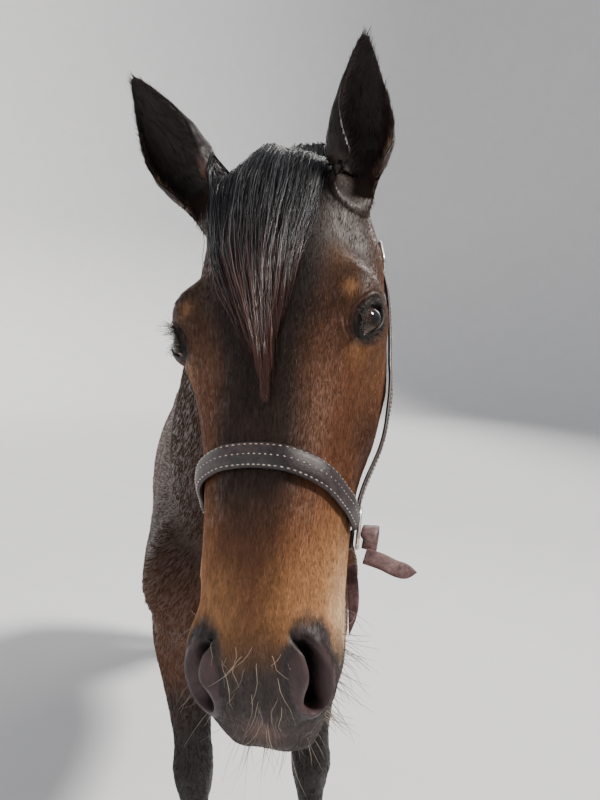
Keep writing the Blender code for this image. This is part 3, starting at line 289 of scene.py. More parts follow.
def smooth_rows(rows, spacing):
    """Rows of numbers read every `spacing` along a smooth curve through them. The first six numbers of
    a row are its top and bottom points, and the curve is a cubic span between each two rows."""
    rows = np.asarray(rows, float)
    middles = (rows[:, 0:3] + rows[:, 3:6]) / 2
    reach = (rows[:, 0:3] - rows[:, 3:6]) / 2
    gaps = np.linalg.norm(np.diff(middles, axis=0), axis=1)
    gaps = np.maximum(gaps, np.linalg.norm(np.diff(reach, axis=0), axis=1) * 0.5)
    slopes = np.diff(rows, axis=0) / gaps[:, None]
    weights = (gaps[1:] / (gaps[:-1] + gaps[1:]))[:, None]
    tangents = np.vstack([slopes[:1], weights * slopes[:-1] + (1 - weights) * slopes[1:], slopes[-1:]])
    result = []
    for i, gap in enumerate(gaps):
        count = max(1, round(gap / spacing))
        t = (np.arange(count) / count)[:, None]
        result.append(
            (2 * t**3 - 3 * t**2 + 1) * rows[i]
            + (t**3 - 2 * t**2 + t) * gap * tangents[i]
            + (3 * t**2 - 2 * t**3) * rows[i + 1]
            + (t**3 - t**2) * gap * tangents[i + 1]
        )
    result.append(rows[-1:])
    return np.vstack(result)


def loft_rings(rows, around, spacing):
    """Rings of points along a loft. A row holds the top and the bottom point of a section, the way its
    side faces, its half width, the share of its height above the widest place, and how square its
    upper and lower halves are. Each half is a superellipse."""
    rows = smooth_rows([[*a, *b, *side, *rest] for a, b, side, *rest in rows], spacing)
    top, bottom, side = rows[:, 0:3], rows[:, 3:6], unit(rows[:, 6:9])
    half_width, share, square_top, square_bottom = (rows[:, i, None] for i in range(9, 13))
    middle = top + (bottom - top) * share
    angle = np.arange(around) * 2 * math.pi / around
    rise, spread = np.cos(angle)[None], np.sin(angle)[None]
    power = 2 / np.where(rise >= 0, square_top, square_bottom)
    reach = np.where(rise[..., None] >= 0, (top - middle)[:, None], (bottom - middle)[:, None])
    rise = np.abs(rise) ** power
    spread = np.sign(spread) * np.abs(spread) ** power * half_width
    return middle[:, None] + reach * rise[..., None] + side[:, None] * spread[..., None]


def swell(rings, places, forms):
    """Raise and hollow forms on both sides: each moves the points near it out from the middle of their
    ring, by its height times a bell curve of their distance in its own radii."""
    outward = unit(rings - rings.mean(axis=1)[:, None])
    shift = np.zeros(rings.shape[:2])
    for centre, radii, height in forms.values():
        for side in SIDES.values():
            away = (places - np.array(centre) * (side, 1, 1)) / np.array(radii)
            bell = height * np.exp(-(away**2).sum(axis=2))
            shift += bell if centre[0] else bell / 2
    return rings + outward * shift[..., None]


def grid_triangles(count, around, closed=False):
    """Triangles between rings of points that are numbered ring by ring. The last ring is joined to the
    first one where the grid is closed."""
    i, k = np.meshgrid(np.arange(around), np.arange(count if closed else count - 1))
    j, m = (i + 1) % around, (k + 1) % count
    a, b, c, d = (x.ravel() for x in (k * around + i, k * around + j, m * around + j, m * around + i))
    return np.vstack([np.stack([a, b, c], axis=1), np.stack([a, c, d], axis=1)])


def closed_grid(rings):
    """Points and triangles of a closed surface through rings, with a point in the middle of each end."""
    count, around = rings.shape[:2]
    points = np.vstack([rings.reshape(-1, 3), rings[0].mean(axis=0), rings[-1].mean(axis=0)])
    i = np.arange(around)
    j = (i + 1) % around
    last = (count - 1) * around
    ends = [
        np.stack([np.full(around, count * around), j, i], axis=1),
        np.stack([np.full(around, count * around + 1), last + i, last + j], axis=1),
    ]
    return points, np.vstack([grid_triangles(count, around), *ends])


def join_surfaces(surfaces):
    """Several surfaces' points and triangles as one."""
    points, triangles, start = [], [], 0
    for some_points, some_triangles in surfaces:
        points.append(some_points)
        triangles.append(some_triangles + start)
        start += len(some_points)
    return np.vstack(points), np.vstack(triangles)


def facing_out(points, triangles):
    """The triangles, turned round if their surface encloses a negative volume."""
    a, b, c = (points[triangles[:, i]] for i in range(3))
    volume = (a * np.cross(b, c)).sum()
    return triangles if volume > 0 else triangles[:, ::-1]


def mesh_from(name, points, triangles):
    """A mesh from arrays of points and triangles."""
    mesh = bpy.data.meshes.new(name)
    mesh.vertices.add(len(points))
    mesh.vertices.foreach_set("co", np.asarray(points, np.float32).ravel())
    mesh.loops.add(3 * len(triangles))
    mesh.loops.foreach_set("vertex_index", np.asarray(triangles, np.int32).ravel())
    mesh.polygons.add(len(triangles))
    mesh.polygons.foreach_set("loop_start", np.arange(0, 3 * len(triangles), 3, dtype=np.int32))
    mesh.update(calc_edges=True)
    return mesh


def arrays_of(mesh):
    """A mesh's points and triangles as arrays."""
    points = np.empty(3 * len(mesh.vertices), np.float32)
    mesh.vertices.foreach_get("co", points)
    mesh.calc_loop_triangles()
    triangles = np.empty(3 * len(mesh.loop_triangles), np.int32)
    mesh.loop_triangles.foreach_get("vertices", triangles)
    return points.reshape(-1, 3).astype(float), triangles.reshape(-1, 3)


def scratch_object(name, points, triangles):
    """An object of the scene that is only used while a surface is worked out."""
    item = bpy.data.objects.new(name, mesh_from(name, points, facing_out(points, triangles)))
    bpy.context.scene.collection.objects.link(item)
    return item


def take_result(item):
    """The arrays of an object with its modifiers, after which the object is deleted."""
    graph = bpy.context.evaluated_depsgraph_get()
    mesh = bpy.data.meshes.new_from_object(item.evaluated_get(graph))
    result = arrays_of(mesh)
    old = item.data
    bpy.data.objects.remove(item, do_unlink=True)
    bpy.data.meshes.remove(old)
    bpy.data.meshes.remove(mesh)
    return result


def edges_of(triangles):
    """Each edge of the triangles once."""
    pairs = np.sort(np.vstack([triangles[:, [0, 1]], triangles[:, [1, 2]], triangles[:, [2, 0]]]), axis=1)
    return np.unique(pairs, axis=0)


def relax(points, edges, strength, rounds):
    """Points moved towards the middle of their neighbours, by a share that may differ from point to
    point, and after each round almost as far back, so that the form keeps its size."""
    degree = np.maximum(np.bincount(edges.ravel(), minlength=len(points)), 1)[:, None]
    strength = np.broadcast_to(np.asarray(strength, float), (len(points),))[:, None]
    for k in range(2 * rounds):
        total = np.stack(
            [
                np.bincount(edges[:, 0], points[edges[:, 1], i], len(points))
                + np.bincount(edges[:, 1], points[edges[:, 0], i], len(points))
                for i in range(3)
            ],
            axis=1,
        )
        points = points + (total / degree - points) * strength * (1.0 if k % 2 == 0 else -0.93)
    return points


def normals_of(points, triangles):
    """Normals at the points, from the faces around them."""
    a, b, c = (points[triangles[:, i]] for i in range(3))
    face = np.cross(b - a, c - a)
    total = np.zeros_like(points)
    for i in range(3):
        for axis in range(3):
            total[:, axis] += np.bincount(triangles[:, i], face[:, axis], len(points))
    return unit(total)


def bell(points, centre, radii):
    """A bell curve of the distance from a place, in its own radii."""
    return np.exp(-(((points - np.array(centre)) / np.array(radii)) ** 2).sum(axis=-1))


def near_line(points, line, width):
    """A bell curve of the distance from a line of points."""
    line = np.asarray(line, float)
    best = np.full(len(points), np.inf)
    for a, b in zip(line[:-1], line[1:]):
        way = b - a
        share = np.clip(((points - a) @ way) / (way @ way), 0, 1)
        best = np.minimum(best, ((points - a - share[:, None] * way) ** 2).sum(axis=1))
    return np.exp(-best / width**2)


def smoothstep(value, low, high):
    """A share that rises smoothly from 0 at the low value to 1 at the high one."""
    t = np.clip((value - low) / (high - low), 0, 1)
    return t * t * (3 - 2 * t)


def refine(points, triangles, chosen):
    """Each chosen triangle split into four, and its neighbours split to match."""
    sides = np.stack([triangles, np.roll(triangles, -1, axis=1)], axis=2)
    flat = np.sort(sides.reshape(-1, 2), axis=1)
    edges, which = np.unique(flat, axis=0, return_inverse=True)
    which = which.reshape(-1, 3)
    marked = np.zeros(len(edges), bool)
    marked[which[chosen].ravel()] = True
    number = np.full(len(edges), -1)
    number[marked] = len(points) + np.arange(marked.sum())
    points = np.vstack([points, points[edges[marked]].mean(axis=1)])
    middle = number[which]
    split = middle >= 0
    count = split.sum(axis=1)
    result = [triangles[count == 0]]
    for turn in range(3):
        t, m = np.roll(triangles, -turn, axis=1), np.roll(middle, -turn, axis=1)
        one = (count == 1) & (m[:, 0] >= 0)
        a, b, c, ab = t[one, 0], t[one, 1], t[one, 2], m[one, 0]
        result += [np.stack([a, ab, c], axis=1), np.stack([ab, b, c], axis=1)]
        two = (count == 2) & (m[:, 2] < 0)
        a, b, c, ab, bc = t[two, 0], t[two, 1], t[two, 2], m[two, 0], m[two, 1]
        result += [np.stack(corner, axis=1) for corner in ((ab, b, bc), (a, ab, bc), (a, bc, c))]
    t, m = triangles[count == 3], middle[count == 3]
    for k in range(3):
        result.append(np.stack([t[:, k], m[:, k], m[:, k - 1]], axis=1))
    result.append(m)
    return points, np.vstack(result)


def clip(points, triangles, field):
    """The part of a surface where a field of its points is above zero, and its new rim's points."""
    inside = field[triangles] > 0
    count = inside.sum(axis=1)
    kept = [triangles[count == 3]]
    mixed = triangles[(count == 1) | (count == 2)]
    sides = np.sort(np.stack([mixed, np.roll(mixed, -1, axis=1)], axis=2).reshape(-1, 2), axis=1)
    edges, which = np.unique(sides, axis=0, return_inverse=True)
    crossing = (field[edges[:, 0]] > 0) != (field[edges[:, 1]] > 0)
    number = np.full(len(edges), -1)
    number[crossing] = len(points) + np.arange(crossing.sum())
    a, b = edges[crossing].T
    share = np.clip(field[a] / (field[a] - field[b]), 0.02, 0.98)[:, None]
    rim = np.arange(len(points), len(points) + len(a))
    points = np.vstack([points, points[a] + (points[b] - points[a]) * share])
    middle = number[which.reshape(-1, 3)]
    above = field[mixed] > 0
    for turn in range(3):
        t, m, f = (np.roll(x, -turn, axis=1) for x in (mixed, middle, above))
        one = f[:, 0] & ~f[:, 1] & ~f[:, 2]
        kept.append(np.stack([t[one, 0], m[one, 0], m[one, 2]], axis=1))
        two = f[:, 0] & f[:, 1] & ~f[:, 2]
        kept.append(np.stack([t[two, 0], t[two, 1], m[two, 1]], axis=1))
        kept.append(np.stack([t[two, 0], m[two, 1], m[two, 2]], axis=1))
    return points, np.vstack(kept), rim


def rim_in_turn(triangles, rim, angles):
    """A rim's points in turn along it, from the lowest angle and towards higher ones, with their angles."""
    sides = np.vstack([triangles[:, [0, 1]], triangles[:, [1, 2]], triangles[:, [2, 0]]])
    is_rim = np.zeros(triangles.max() + 1, bool)
    is_rim[rim] = True
    sides = sides[is_rim[sides].all(axis=1)]
    span = len(is_rim)
    open_side = ~np.isin(sides[:, 0] * span + sides[:, 1], sides[:, 1] * span + sides[:, 0])
    following = dict(sides[open_side].tolist())
    angle_of = dict(zip(rim.tolist(), angles.tolist()))
    start = rim[np.argmin(angles)]
    chain = [int(start)]
    while following.get(chain[-1], chain[0]) != chain[0] and len(chain) <= len(rim):
        chain.append(following[chain[-1]])
    turned = np.array([angle_of[point] for point in chain])
    if np.median(np.diff(turned)) < 0:
        chain, turned = [chain[0], *chain[:0:-1]], np.concatenate([turned[:1], turned[:0:-1]])
    return np.array(chain), np.maximum.accumulate(turned)


def zip_rings(outer, a, inner, b):
    """Triangles between two rings of points, each given by its numbers in turn and their rising angles."""
    i = j = 0
    triangles = []
    while i < len(outer) or j < len(inner):
        next_a = a[i] if i < len(outer) else math.inf
        next_b = b[j] if j < len(inner) else math.inf
        if next_a <= next_b:
            triangles.append((outer[i - 1], outer[i], inner[j - 1]))
            i += 1
        else:
            triangles.append((outer[i - 1], inner[j], inner[j - 1]))
            j += 1
    return np.array(triangles)


def turned_to_match(first, second):
    """The second set of triangles, turned over if it runs along the first one's sides the same way."""
    sides = [np.vstack([t[:, [0, 1]], t[:, [1, 2]], t[:, [2, 0]]]).astype(np.int64) for t in (first, second)]
    span = max(side.max() for side in sides) + 1
    same = np.isin(sides[1][:, 0] * span + sides[1][:, 1], sides[0][:, 0] * span + sides[0][:, 1]).sum()
    return second[:, ::-1] if same else second


def graft(surface, patch_rings, field, angles_of):
    """Open a surface where a field is below zero, and close it again with a patch of rings whose first
    ring lies along the opening and whose last one closes on a point."""
    points, triangles, rim = clip(*surface, field)
    count, around = patch_rings.shape[:2]
    start = len(points)
    pole = start + count * around
    points = np.vstack([points, patch_rings.reshape(-1, 3), patch_rings[-1].mean(axis=0)[None]])
    i = start + (count - 1) * around + np.arange(around)
    j = start + (count - 1) * around + (np.arange(around) + 1) % around
    end = np.stack([i, j, np.full(around, pole)], axis=1)
    patch = np.vstack([start + grid_triangles(count, around), end])
    outer, outer_angles = rim_in_turn(triangles, rim, angles_of(points[rim]))
    first = start + np.arange(around)
    angles = angles_of(points[first])
    order = np.argsort(angles)
    seam = turned_to_match(triangles, zip_rings(outer, outer_angles, first[order], angles[order]))
    patch = turned_to_match(seam, patch)
    return drop_unused(points, np.vstack([triangles, seam, patch]))


def graft_oval(surface, patch_rings, spot, size, near, signs=(1, 1)):
    """Graft a patch into an oval opening: the surface goes where (x/a)² + (y/b)² is below 1 in a local
    frame, at those of its points that are near. The signs turn the angles the way the rings run."""
    x, y, _ = spot.measures(surface[0])
    field = np.where(near, (x / size[0]) ** 2 + (y / size[1]) ** 2 - 1, 9.0)

    def angles_of(some):
        x, y, _ = spot.measures(some)
        return np.arctan2(y * signs[1] / size[1], x * signs[0] / size[0])

    return graft(surface, np.array(patch_rings), field, angles_of)


def drop_unused(points, triangles):
    """The surface without points that no triangle uses."""
    used = np.unique(triangles)
    number = np.full(len(points), -1)
    number[used] = np.arange(len(used))
    return points[used], number[triangles]


WARP_REACH = 0.42
WARP_POWER = 5.2
WARP_CENTRE = at_head((0.0, 0.30, -0.10))


def warp(points, power):
    """Points blown up round the middle of the head, so that even cells give the head finer ones."""
    away = points - WARP_CENTRE
    far = np.maximum(np.linalg.norm(away, axis=1, keepdims=True), 1e-9)
    return WARP_CENTRE + away * np.where(far < WARP_REACH, power, (far + (power - 1) * WARP_REACH) / far)


def unwarp(points, power):
    """Blown up points brought back to their places."""
    away = points - WARP_CENTRE
    far = np.maximum(np.linalg.norm(away, axis=1, keepdims=True), 1e-9)
    near = far < WARP_REACH * power
    return WARP_CENTRE + away * np.where(near, 1 / power, (far - (power - 1) * WARP_REACH) / far)


def body_lofts():
    """The closed lofts of trunk, neck, head, legs and dock, as fine rings."""
    trunk = loft_rings(
        [((0, y, t), (0, y, b), (1, 0, 0), half, share, up, low) for y, t, b, half, share, up, low in TRUNK],
        around=120, spacing=0.02,
    )
    neck = []
    for i, (x, crest_y, crest_z, under_y, under_z, half) in enumerate(NECK):
        turn = HEAD_YAW * max(0, i - 2) / (len(NECK) - 3)
        side = (math.cos(turn), math.sin(turn), 0)
        neck.append(((x, crest_y, crest_z), (x, under_y, under_z), side, half, 0.55, 1.75, 2.1))
    side = tuple(head_directions((1, 0, 0)))
    head = loft_rings(
        [
            (at_head((0, along, top)), at_head((0, along, low)), side, half, share, square, square_low)
            for along, top, low, half, share, square, square_low in HEAD
        ],
        around=160, spacing=0.006,
    )
    rings = [
        swell(trunk, trunk, TRUNK_FORMS),
        loft_rings(neck, around=110, spacing=0.02),
        swell(head, head_places(head), HEAD_FORMS),
    ]
    for way in SIDES.values():
        for table, line in ((FORELEG, FORELEG_X), (HINDLEG, HINDLEG_X)):
            rows = [
                (
                    ((line + across) * way, front, z), ((line + across) * way, back, z), (1, 0, 0),
                    half, 0.5, LEG_SQUARE, LEG_SQUARE,
                )
                for z, front, back, across, half in table
            ]
            rings.append(loft_rings(rows, around=60, spacing=0.015))
    dock = np.array(DOCK)
    run = unit(np.gradient(dock[:, :2], axis=0))
    rows = [
        ((0, y - dz * depth, z + dy * depth), (0, y + dz * depth, z - dy * depth), (1, 0, 0), half, 0.5, 2, 2)
        for (y, z, depth, half), (dy, dz) in zip(dock, run)
    ]
    rings.append(loft_rings(rows, around=40, spacing=0.02))
    return rings


def joined_body():
    """All lofts as one smooth surface, fine on the head and coarser on the trunk."""
    surfaces = [closed_grid(ring) for ring in body_lofts()]
    surfaces = [(points, facing_out(points, triangles)) for points, triangles in surfaces]
    points, triangles = join_surfaces(surfaces)
    item = scratch_object("body", warp(points, WARP_POWER), triangles)
    cells = item.modifiers.new("cells", "REMESH")
    cells.mode = "VOXEL"
    cells.voxel_size = settings().voxel
    points, triangles = take_result(item)
    points = unwarp(points, WARP_POWER)
    edges = edges_of(triangles)
    points = relax(points, edges, 0.5, 3)
    soft = np.zeros(len(points))
    for centre, radii in SOFT_PLACES.values():
        soft = np.maximum(soft, bell(points, centre, radii))
    for _ in range(2):
        points = relax(points, edges, 0.55 * soft, 22)
    return points, triangles


# Eyes, nostrils and ears, in the same measures as the solids
EYE_AXIS = (0.80, 0.14, 0.56)
EYE_SLANT = (-0.45, 1.0, 0.25)
EYE_RADIUS = 0.0235
EYE_HALF_LENGTH = 0.0225
EYE_HALF_HEIGHTS = (0.0150, 0.0108)
LID_RADIUS = 0.0262
# Folds of the lids: distance from the opening, width, depth, and the first and last angle round it, which
# starts at the corner near the muzzle and runs over the upper lid
LID_FOLDS = (
    (0.0046, 0.0011, 0.0024, 0.35, 3.0),
    (0.0088, 0.0013, 0.0011, 0.20, 2.3),
    (0.0132, 0.0016, 0.0009, 0.10, 1.5),
    (0.0075, 0.0012, 0.0009, 3.9, 5.9),
)
# The blend between lid and face, the lids' edge as angles past the opening with their radii, and the
# pocket behind the eyeball as angles from its axis with their radii
LID_SOFTNESS = 0.0028
LID_EDGE = ((-0.035, 0.0262), (-0.07, 0.0252), (-0.085, 0.0243), (-0.06, 0.02375), (0.12, 0.0237))
LID_POCKET = ((1.5, 0.0240), (2.2, 0.0241), (2.9, 0.0241))
NOSTRIL = ((0.057, 0.613, -0.034), (0.041, 0.603, -0.058), (0.030, 0.583, -0.074), (0.024, 0.555, -0.083))
NOSTRIL_SLIT = (0.10, 0.95, -0.40)
NOSTRIL_HALF_LENGTH = 0.034
NOSTRIL_HALF_WIDTH = 0.0185
# The passage: how far its rings lie below the opening and their size, and the depths of the places above
NOSTRIL_PASSAGE = (
    (0.0012, 0.97), (0.003, 0.93), (0.007, 0.88), (0.014, 0.82), (0.022, 0.74), (0.034, 0.6), (0.05, 0.44),
    (0.068, 0.2),
)
NOSTRIL_DEPTHS = (0.0, 0.028, 0.052, 0.080)
EARS = {
    "left": ((0.096, 0.045, -0.014), (0.129, -1.315, 2.043), (0.30, -1.0, 0.05), 0.043),
    "right": ((-0.096, 0.035, -0.014), (-0.163, -1.235, 2.012), (-0.7, -0.9, 0.2), 0.044),
}
# An ear's sections: share of its length, half width and half depth as shares of the greatest half width,
# and how far round its wall reaches from the middle of its back, in degrees
EAR_SECTIONS = (
    (0.04, 0.66, 0.60, 158),
    (0.14, 0.88, 0.76, 148),
    (0.30, 1.03, 0.82, 130),
    (0.48, 0.99, 0.70, 112),
    (0.66, 0.78, 0.50, 95),
    (0.84, 0.48, 0.30, 80),
    (0.95, 0.25, 0.15, 68),
    (1.0, 0.09, 0.05, 60),
)
EAR_BOW = 0.012
EAR_FOOT = (0.034, 0.032)
AROUND = 92
EAR_AROUND = 68
MOUTH_HEIGHT = -0.114
# Half sizes of the patches of skin that hold an eye and a nostril
EYE_PATCH = (0.042, 0.037)
NOSTRIL_PATCH = (0.047, 0.033)


def surface_tree(surface):
    """A search tree of a surface's faces."""
    points, triangles = surface
    return BVHTree.FromPolygons(points.tolist(), triangles.tolist())


def drop_onto(tree, starts, way):
    """Where lines from the starts along a way first meet a surface, or the start where they miss it."""
    way = Vector(way)
    hits = []
    for start in starts:
        hit = tree.ray_cast(Vector(start), way)[0]
        hits.append(tuple(hit) if hit else tuple(start))
    return np.array(hits)


class LocalFrame:
    """A place with an outward axis and two directions across it."""

    def __init__(self, centre, axis, first):
        self.centre = np.asarray(centre, float)
        self.axis = unit(np.asarray(axis, float))
        first = np.asarray(first, float)
        self.first = unit(first - self.axis * (first @ self.axis))
        self.second = np.cross(self.axis, self.first)

    def measures(self, points):
        """Points' places along both directions and the axis."""
        away = points - self.centre
        return away @ self.first, away @ self.second, away @ self.axis

    def place(self, x, y, h):
        """Points at places along both directions and the axis."""
        x, y, h = (np.asarray(value, float)[..., None] for value in (x, y, h))
        return self.centre + x * self.first + y * self.second + h * self.axis


def eye_frame(side_name):
    """The eyeball's middle and outward axis; the first direction runs to the muzzle, and the second one,
    turned on one side so, is measured positive towards the upper lid by `upper`."""
    low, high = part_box(f"eye_{side_name}")
    centre = (np.array(low) + np.array(high)) / 2 - STANCE_SHIFT
    side = SIDES[side_name]
    return LocalFrame(
        centre,
        head_directions((EYE_AXIS[0] * side, *EYE_AXIS[1:])),
        head_directions((EYE_SLANT[0] * side, *EYE_SLANT[1:])),
    )


def upper(eye):
    """1 where the eye's second direction points to the upper lid, and -1 where it points away."""
    return 1.0 if eye.second @ head_directions((0, 0, 1)) > 0 else -1.0


def eye_outline(angle):
    """The opening of the lids: an almond whose corners are drawn out and whose upper arc is higher."""
    x = EYE_HALF_LENGTH * np.cos(angle)
    y = np.sin(angle)
    height = np.where(y > 0, EYE_HALF_HEIGHTS[0], EYE_HALF_HEIGHTS[1])
    return x, height * np.sign(y) * np.abs(y) ** 1.3 - 0.0016 * smoothstep(x, 0.011, 0.021)


def add_eye(surface, tree, side_name):
    """Lids round an eyeball: rings from the face over the swollen lids and their folds to the rim, and
    on under the lids to a pocket behind the eyeball."""
    eye = eye_frame(side_name)
    up = upper(eye)
    angle = np.arange(AROUND) * 2 * math.pi / AROUND
    rim_x, rim_y = eye_outline(angle)
    out_x, out_y = EYE_PATCH[0] * np.cos(angle), EYE_PATCH[1] * np.sin(angle)
    rings = []
    for share in np.linspace(1, 0, 30) ** 1.15:
        x, y = rim_x + (out_x - rim_x) * share, rim_y + (out_y - rim_y) * share
        start = eye.place(x, y * up, np.full(AROUND, 0.12))
        skin = eye.measures(drop_onto(tree, start, -eye.axis))[2]
        far = np.hypot(x, y)
        ball = np.sqrt(np.maximum(LID_RADIUS**2 - far**2, 0))
        lid = np.where(far < LID_RADIUS, ball, 2 * (LID_RADIUS - far))
        high = np.maximum(skin, lid)
        blend = np.exp((skin - high) / LID_SOFTNESS) + np.exp((lid - high) / LID_SOFTNESS)
        rise = high + LID_SOFTNESS * np.log(blend) * (1 - share**4)
        rise = rise * (1 - share**4) + skin * share**4
        away = np.hypot(x - rim_x, y - rim_y)
        for middle, width, depth, first, last in LID_FOLDS:
            along = smoothstep(angle, first, first + 0.45) * smoothstep(angle, last, last - 0.45)
            place = middle + 0.0022 * np.sin(angle) + 0.0005 * np.sin(5 * angle + 300 * middle)
            rise -= along * depth * np.exp(-(((away - place) / width) ** 2))
            rise += along * depth * 0.5 * np.exp(-(((away - place - 2 * width) / (1.4 * width)) ** 2))
        rings.append(eye.place(x, y * up, rise))
    turn = np.arctan2(rim_y, rim_x)
    tilt = np.arcsin(np.clip(np.hypot(rim_x, rim_y) / LID_RADIUS, 0, 0.97))
    steps = [(tilt + lean, radius) for lean, radius in LID_EDGE]
    steps += [(np.full(AROUND, a), radius) for a, radius in LID_POCKET]
    for a, radius in steps:
        flat = radius * np.sin(a)
        rings.append(eye.place(flat * np.cos(turn), flat * np.sin(turn) * up, radius * np.cos(a)))
    x, y, h = eye.measures(surface[0])
    near = (np.abs(h) < 0.06) & (np.hypot(x, y) < 0.08)
    return graft_oval(surface, rings, eye, EYE_PATCH, near, (1, up))


def lid_distance(points):
    """How far points lie outside the opening of the nearer eye's lids, measured across its axis."""
    nearest = np.full(len(points), 1.0)
    for side_name in SIDES:
        eye = eye_frame(side_name)
        x, y, h = eye.measures(points)
        high = np.where(y * upper(eye) > 0, *EYE_HALF_HEIGHTS)
        size = np.hypot(x / EYE_HALF_LENGTH, y / high)
        away = np.hypot(x, y) * (1 - 1 / np.maximum(size, 0.2))
        nearest = np.minimum(nearest, np.where((h > 0) & (h < 0.05), away, 1.0))
    return nearest


def nostril_frame(side):
    """The middle of a nostril's opening, its outward axis, and its long direction down to the lip."""
    first, last = (at_head(np.array(NOSTRIL[i]) * (side, 1, 1)) for i in (0, -1))
    return LocalFrame(first, first - last, head_directions((NOSTRIL_SLIT[0] * side, *NOSTRIL_SLIT[1:])))


def nostril_outline(angle, inner):
    """A comma: broad and round below, and narrow above, where it bends in over the fold of the wing.
    `inner` is 1 where the second direction points to the middle of the muzzle, and -1 elsewhere."""
    x, across = np.cos(angle), np.sin(angle) * inner
    arc = np.abs(across) ** 0.9
    inside = NOSTRIL_HALF_WIDTH * (0.12 + 0.62 * smoothstep(x, -0.45, 0.75)) * arc
    inside += 0.0040 * np.exp(-(((x + 0.86) / 0.13) ** 2))
    outside = -NOSTRIL_HALF_WIDTH * (0.86 + 0.10 * x) * arc
    bend = 0.006 * np.clip(-x, 0, 1) ** 2
    return NOSTRIL_HALF_LENGTH * x, (np.where(across > 0, inside, outside) + bend) * inner


def add_nostril(surface, tree, side):
    """A nostril: rings from the muzzle over a rolled rim and down a narrowing passage to its end."""
    spot = nostril_frame(side)
    inner = 1.0 if spot.second @ head_directions((-side, 0, 0)) > 0 else -1.0
    angle = np.arange(AROUND) * 2 * math.pi / AROUND
    rim_x, rim_y = nostril_outline(angle, inner)
    out_x, out_y = NOSTRIL_PATCH[0] * np.cos(angle), NOSTRIL_PATCH[1] * np.sin(angle)
    outer = np.clip(-np.sin(angle) * inner, 0, 1)
    rings = []
    for share in np.linspace(1, 0, 22) ** 1.2:
        x, y = rim_x + (out_x - rim_x) * share, rim_y + (out_y - rim_y) * share
        start = spot.place(x, y, np.full(AROUND, 0.10))
        skin = spot.measures(drop_onto(tree, start, -spot.axis))[2]
        away = np.hypot(x - rim_x, y - rim_y)
        fade = 1 - share**3
        roll = (0.0015 + 0.0035 * outer) * np.exp(-(((away - 0.003) / 0.0055) ** 2)) * fade
        roll -= (0.0018 * outer) * np.exp(-(((away - 0.0115) / 0.004) ** 2)) * fade
        side_in = smoothstep(np.sin(angle) * inner, 0.0, 0.35)
        fold = np.exp(-(((np.cos(angle) + 0.20) / 0.42) ** 2)) * side_in
        roll += 0.0065 * fold * np.exp(-(((away - 0.006) / 0.010) ** 2)) * fade
        notch = np.exp(-(((np.cos(angle) + 0.88) / 0.10) ** 2)) * side_in
        roll -= 0.0060 * notch * np.exp(-(((away - 0.002) / 0.013) ** 2)) * fade
        rings.append(spot.place(x, y, skin + roll))
    edge = spot.measures(rings[-1])[2]
    ends = [spot.measures(at_head(np.array(place) * (side, 1, 1))[None]) for place in NOSTRIL]
    centre_x, centre_y = (np.array([float(end[i][0]) for end in ends]) for i in range(2))
    for sink, size in NOSTRIL_PASSAGE:
        x0, y0 = (np.interp(sink, NOSTRIL_DEPTHS, centre) for centre in (centre_x, centre_y))
        level = edge * (1 - sink / 0.07) - sink
        slope = 1 - 0.62 * outer * min(1, sink / 0.014)
        rings.append(spot.place(x0 + rim_x * size, y0 + rim_y * size * slope, level))
    x, y, h = spot.measures(surface[0])
    near = (np.hypot(x, y) < 0.07) & (np.abs(h) < 0.06) & (normals_of(*surface) @ spot.axis > -0.1)
    return graft_oval(surface, rings, spot, NOSTRIL_PATCH, near)


def ear_frame(side_name):
    """An ear's foot, its axis to the tip and the side that it opens to, with its length and half width."""
    foot, tip, facing, half = EARS[side_name]
    foot, tip = at_head(foot), np.array(tip)
    spot = LocalFrame(foot, tip - foot, facing)
    return spot, np.linalg.norm(tip - foot), half


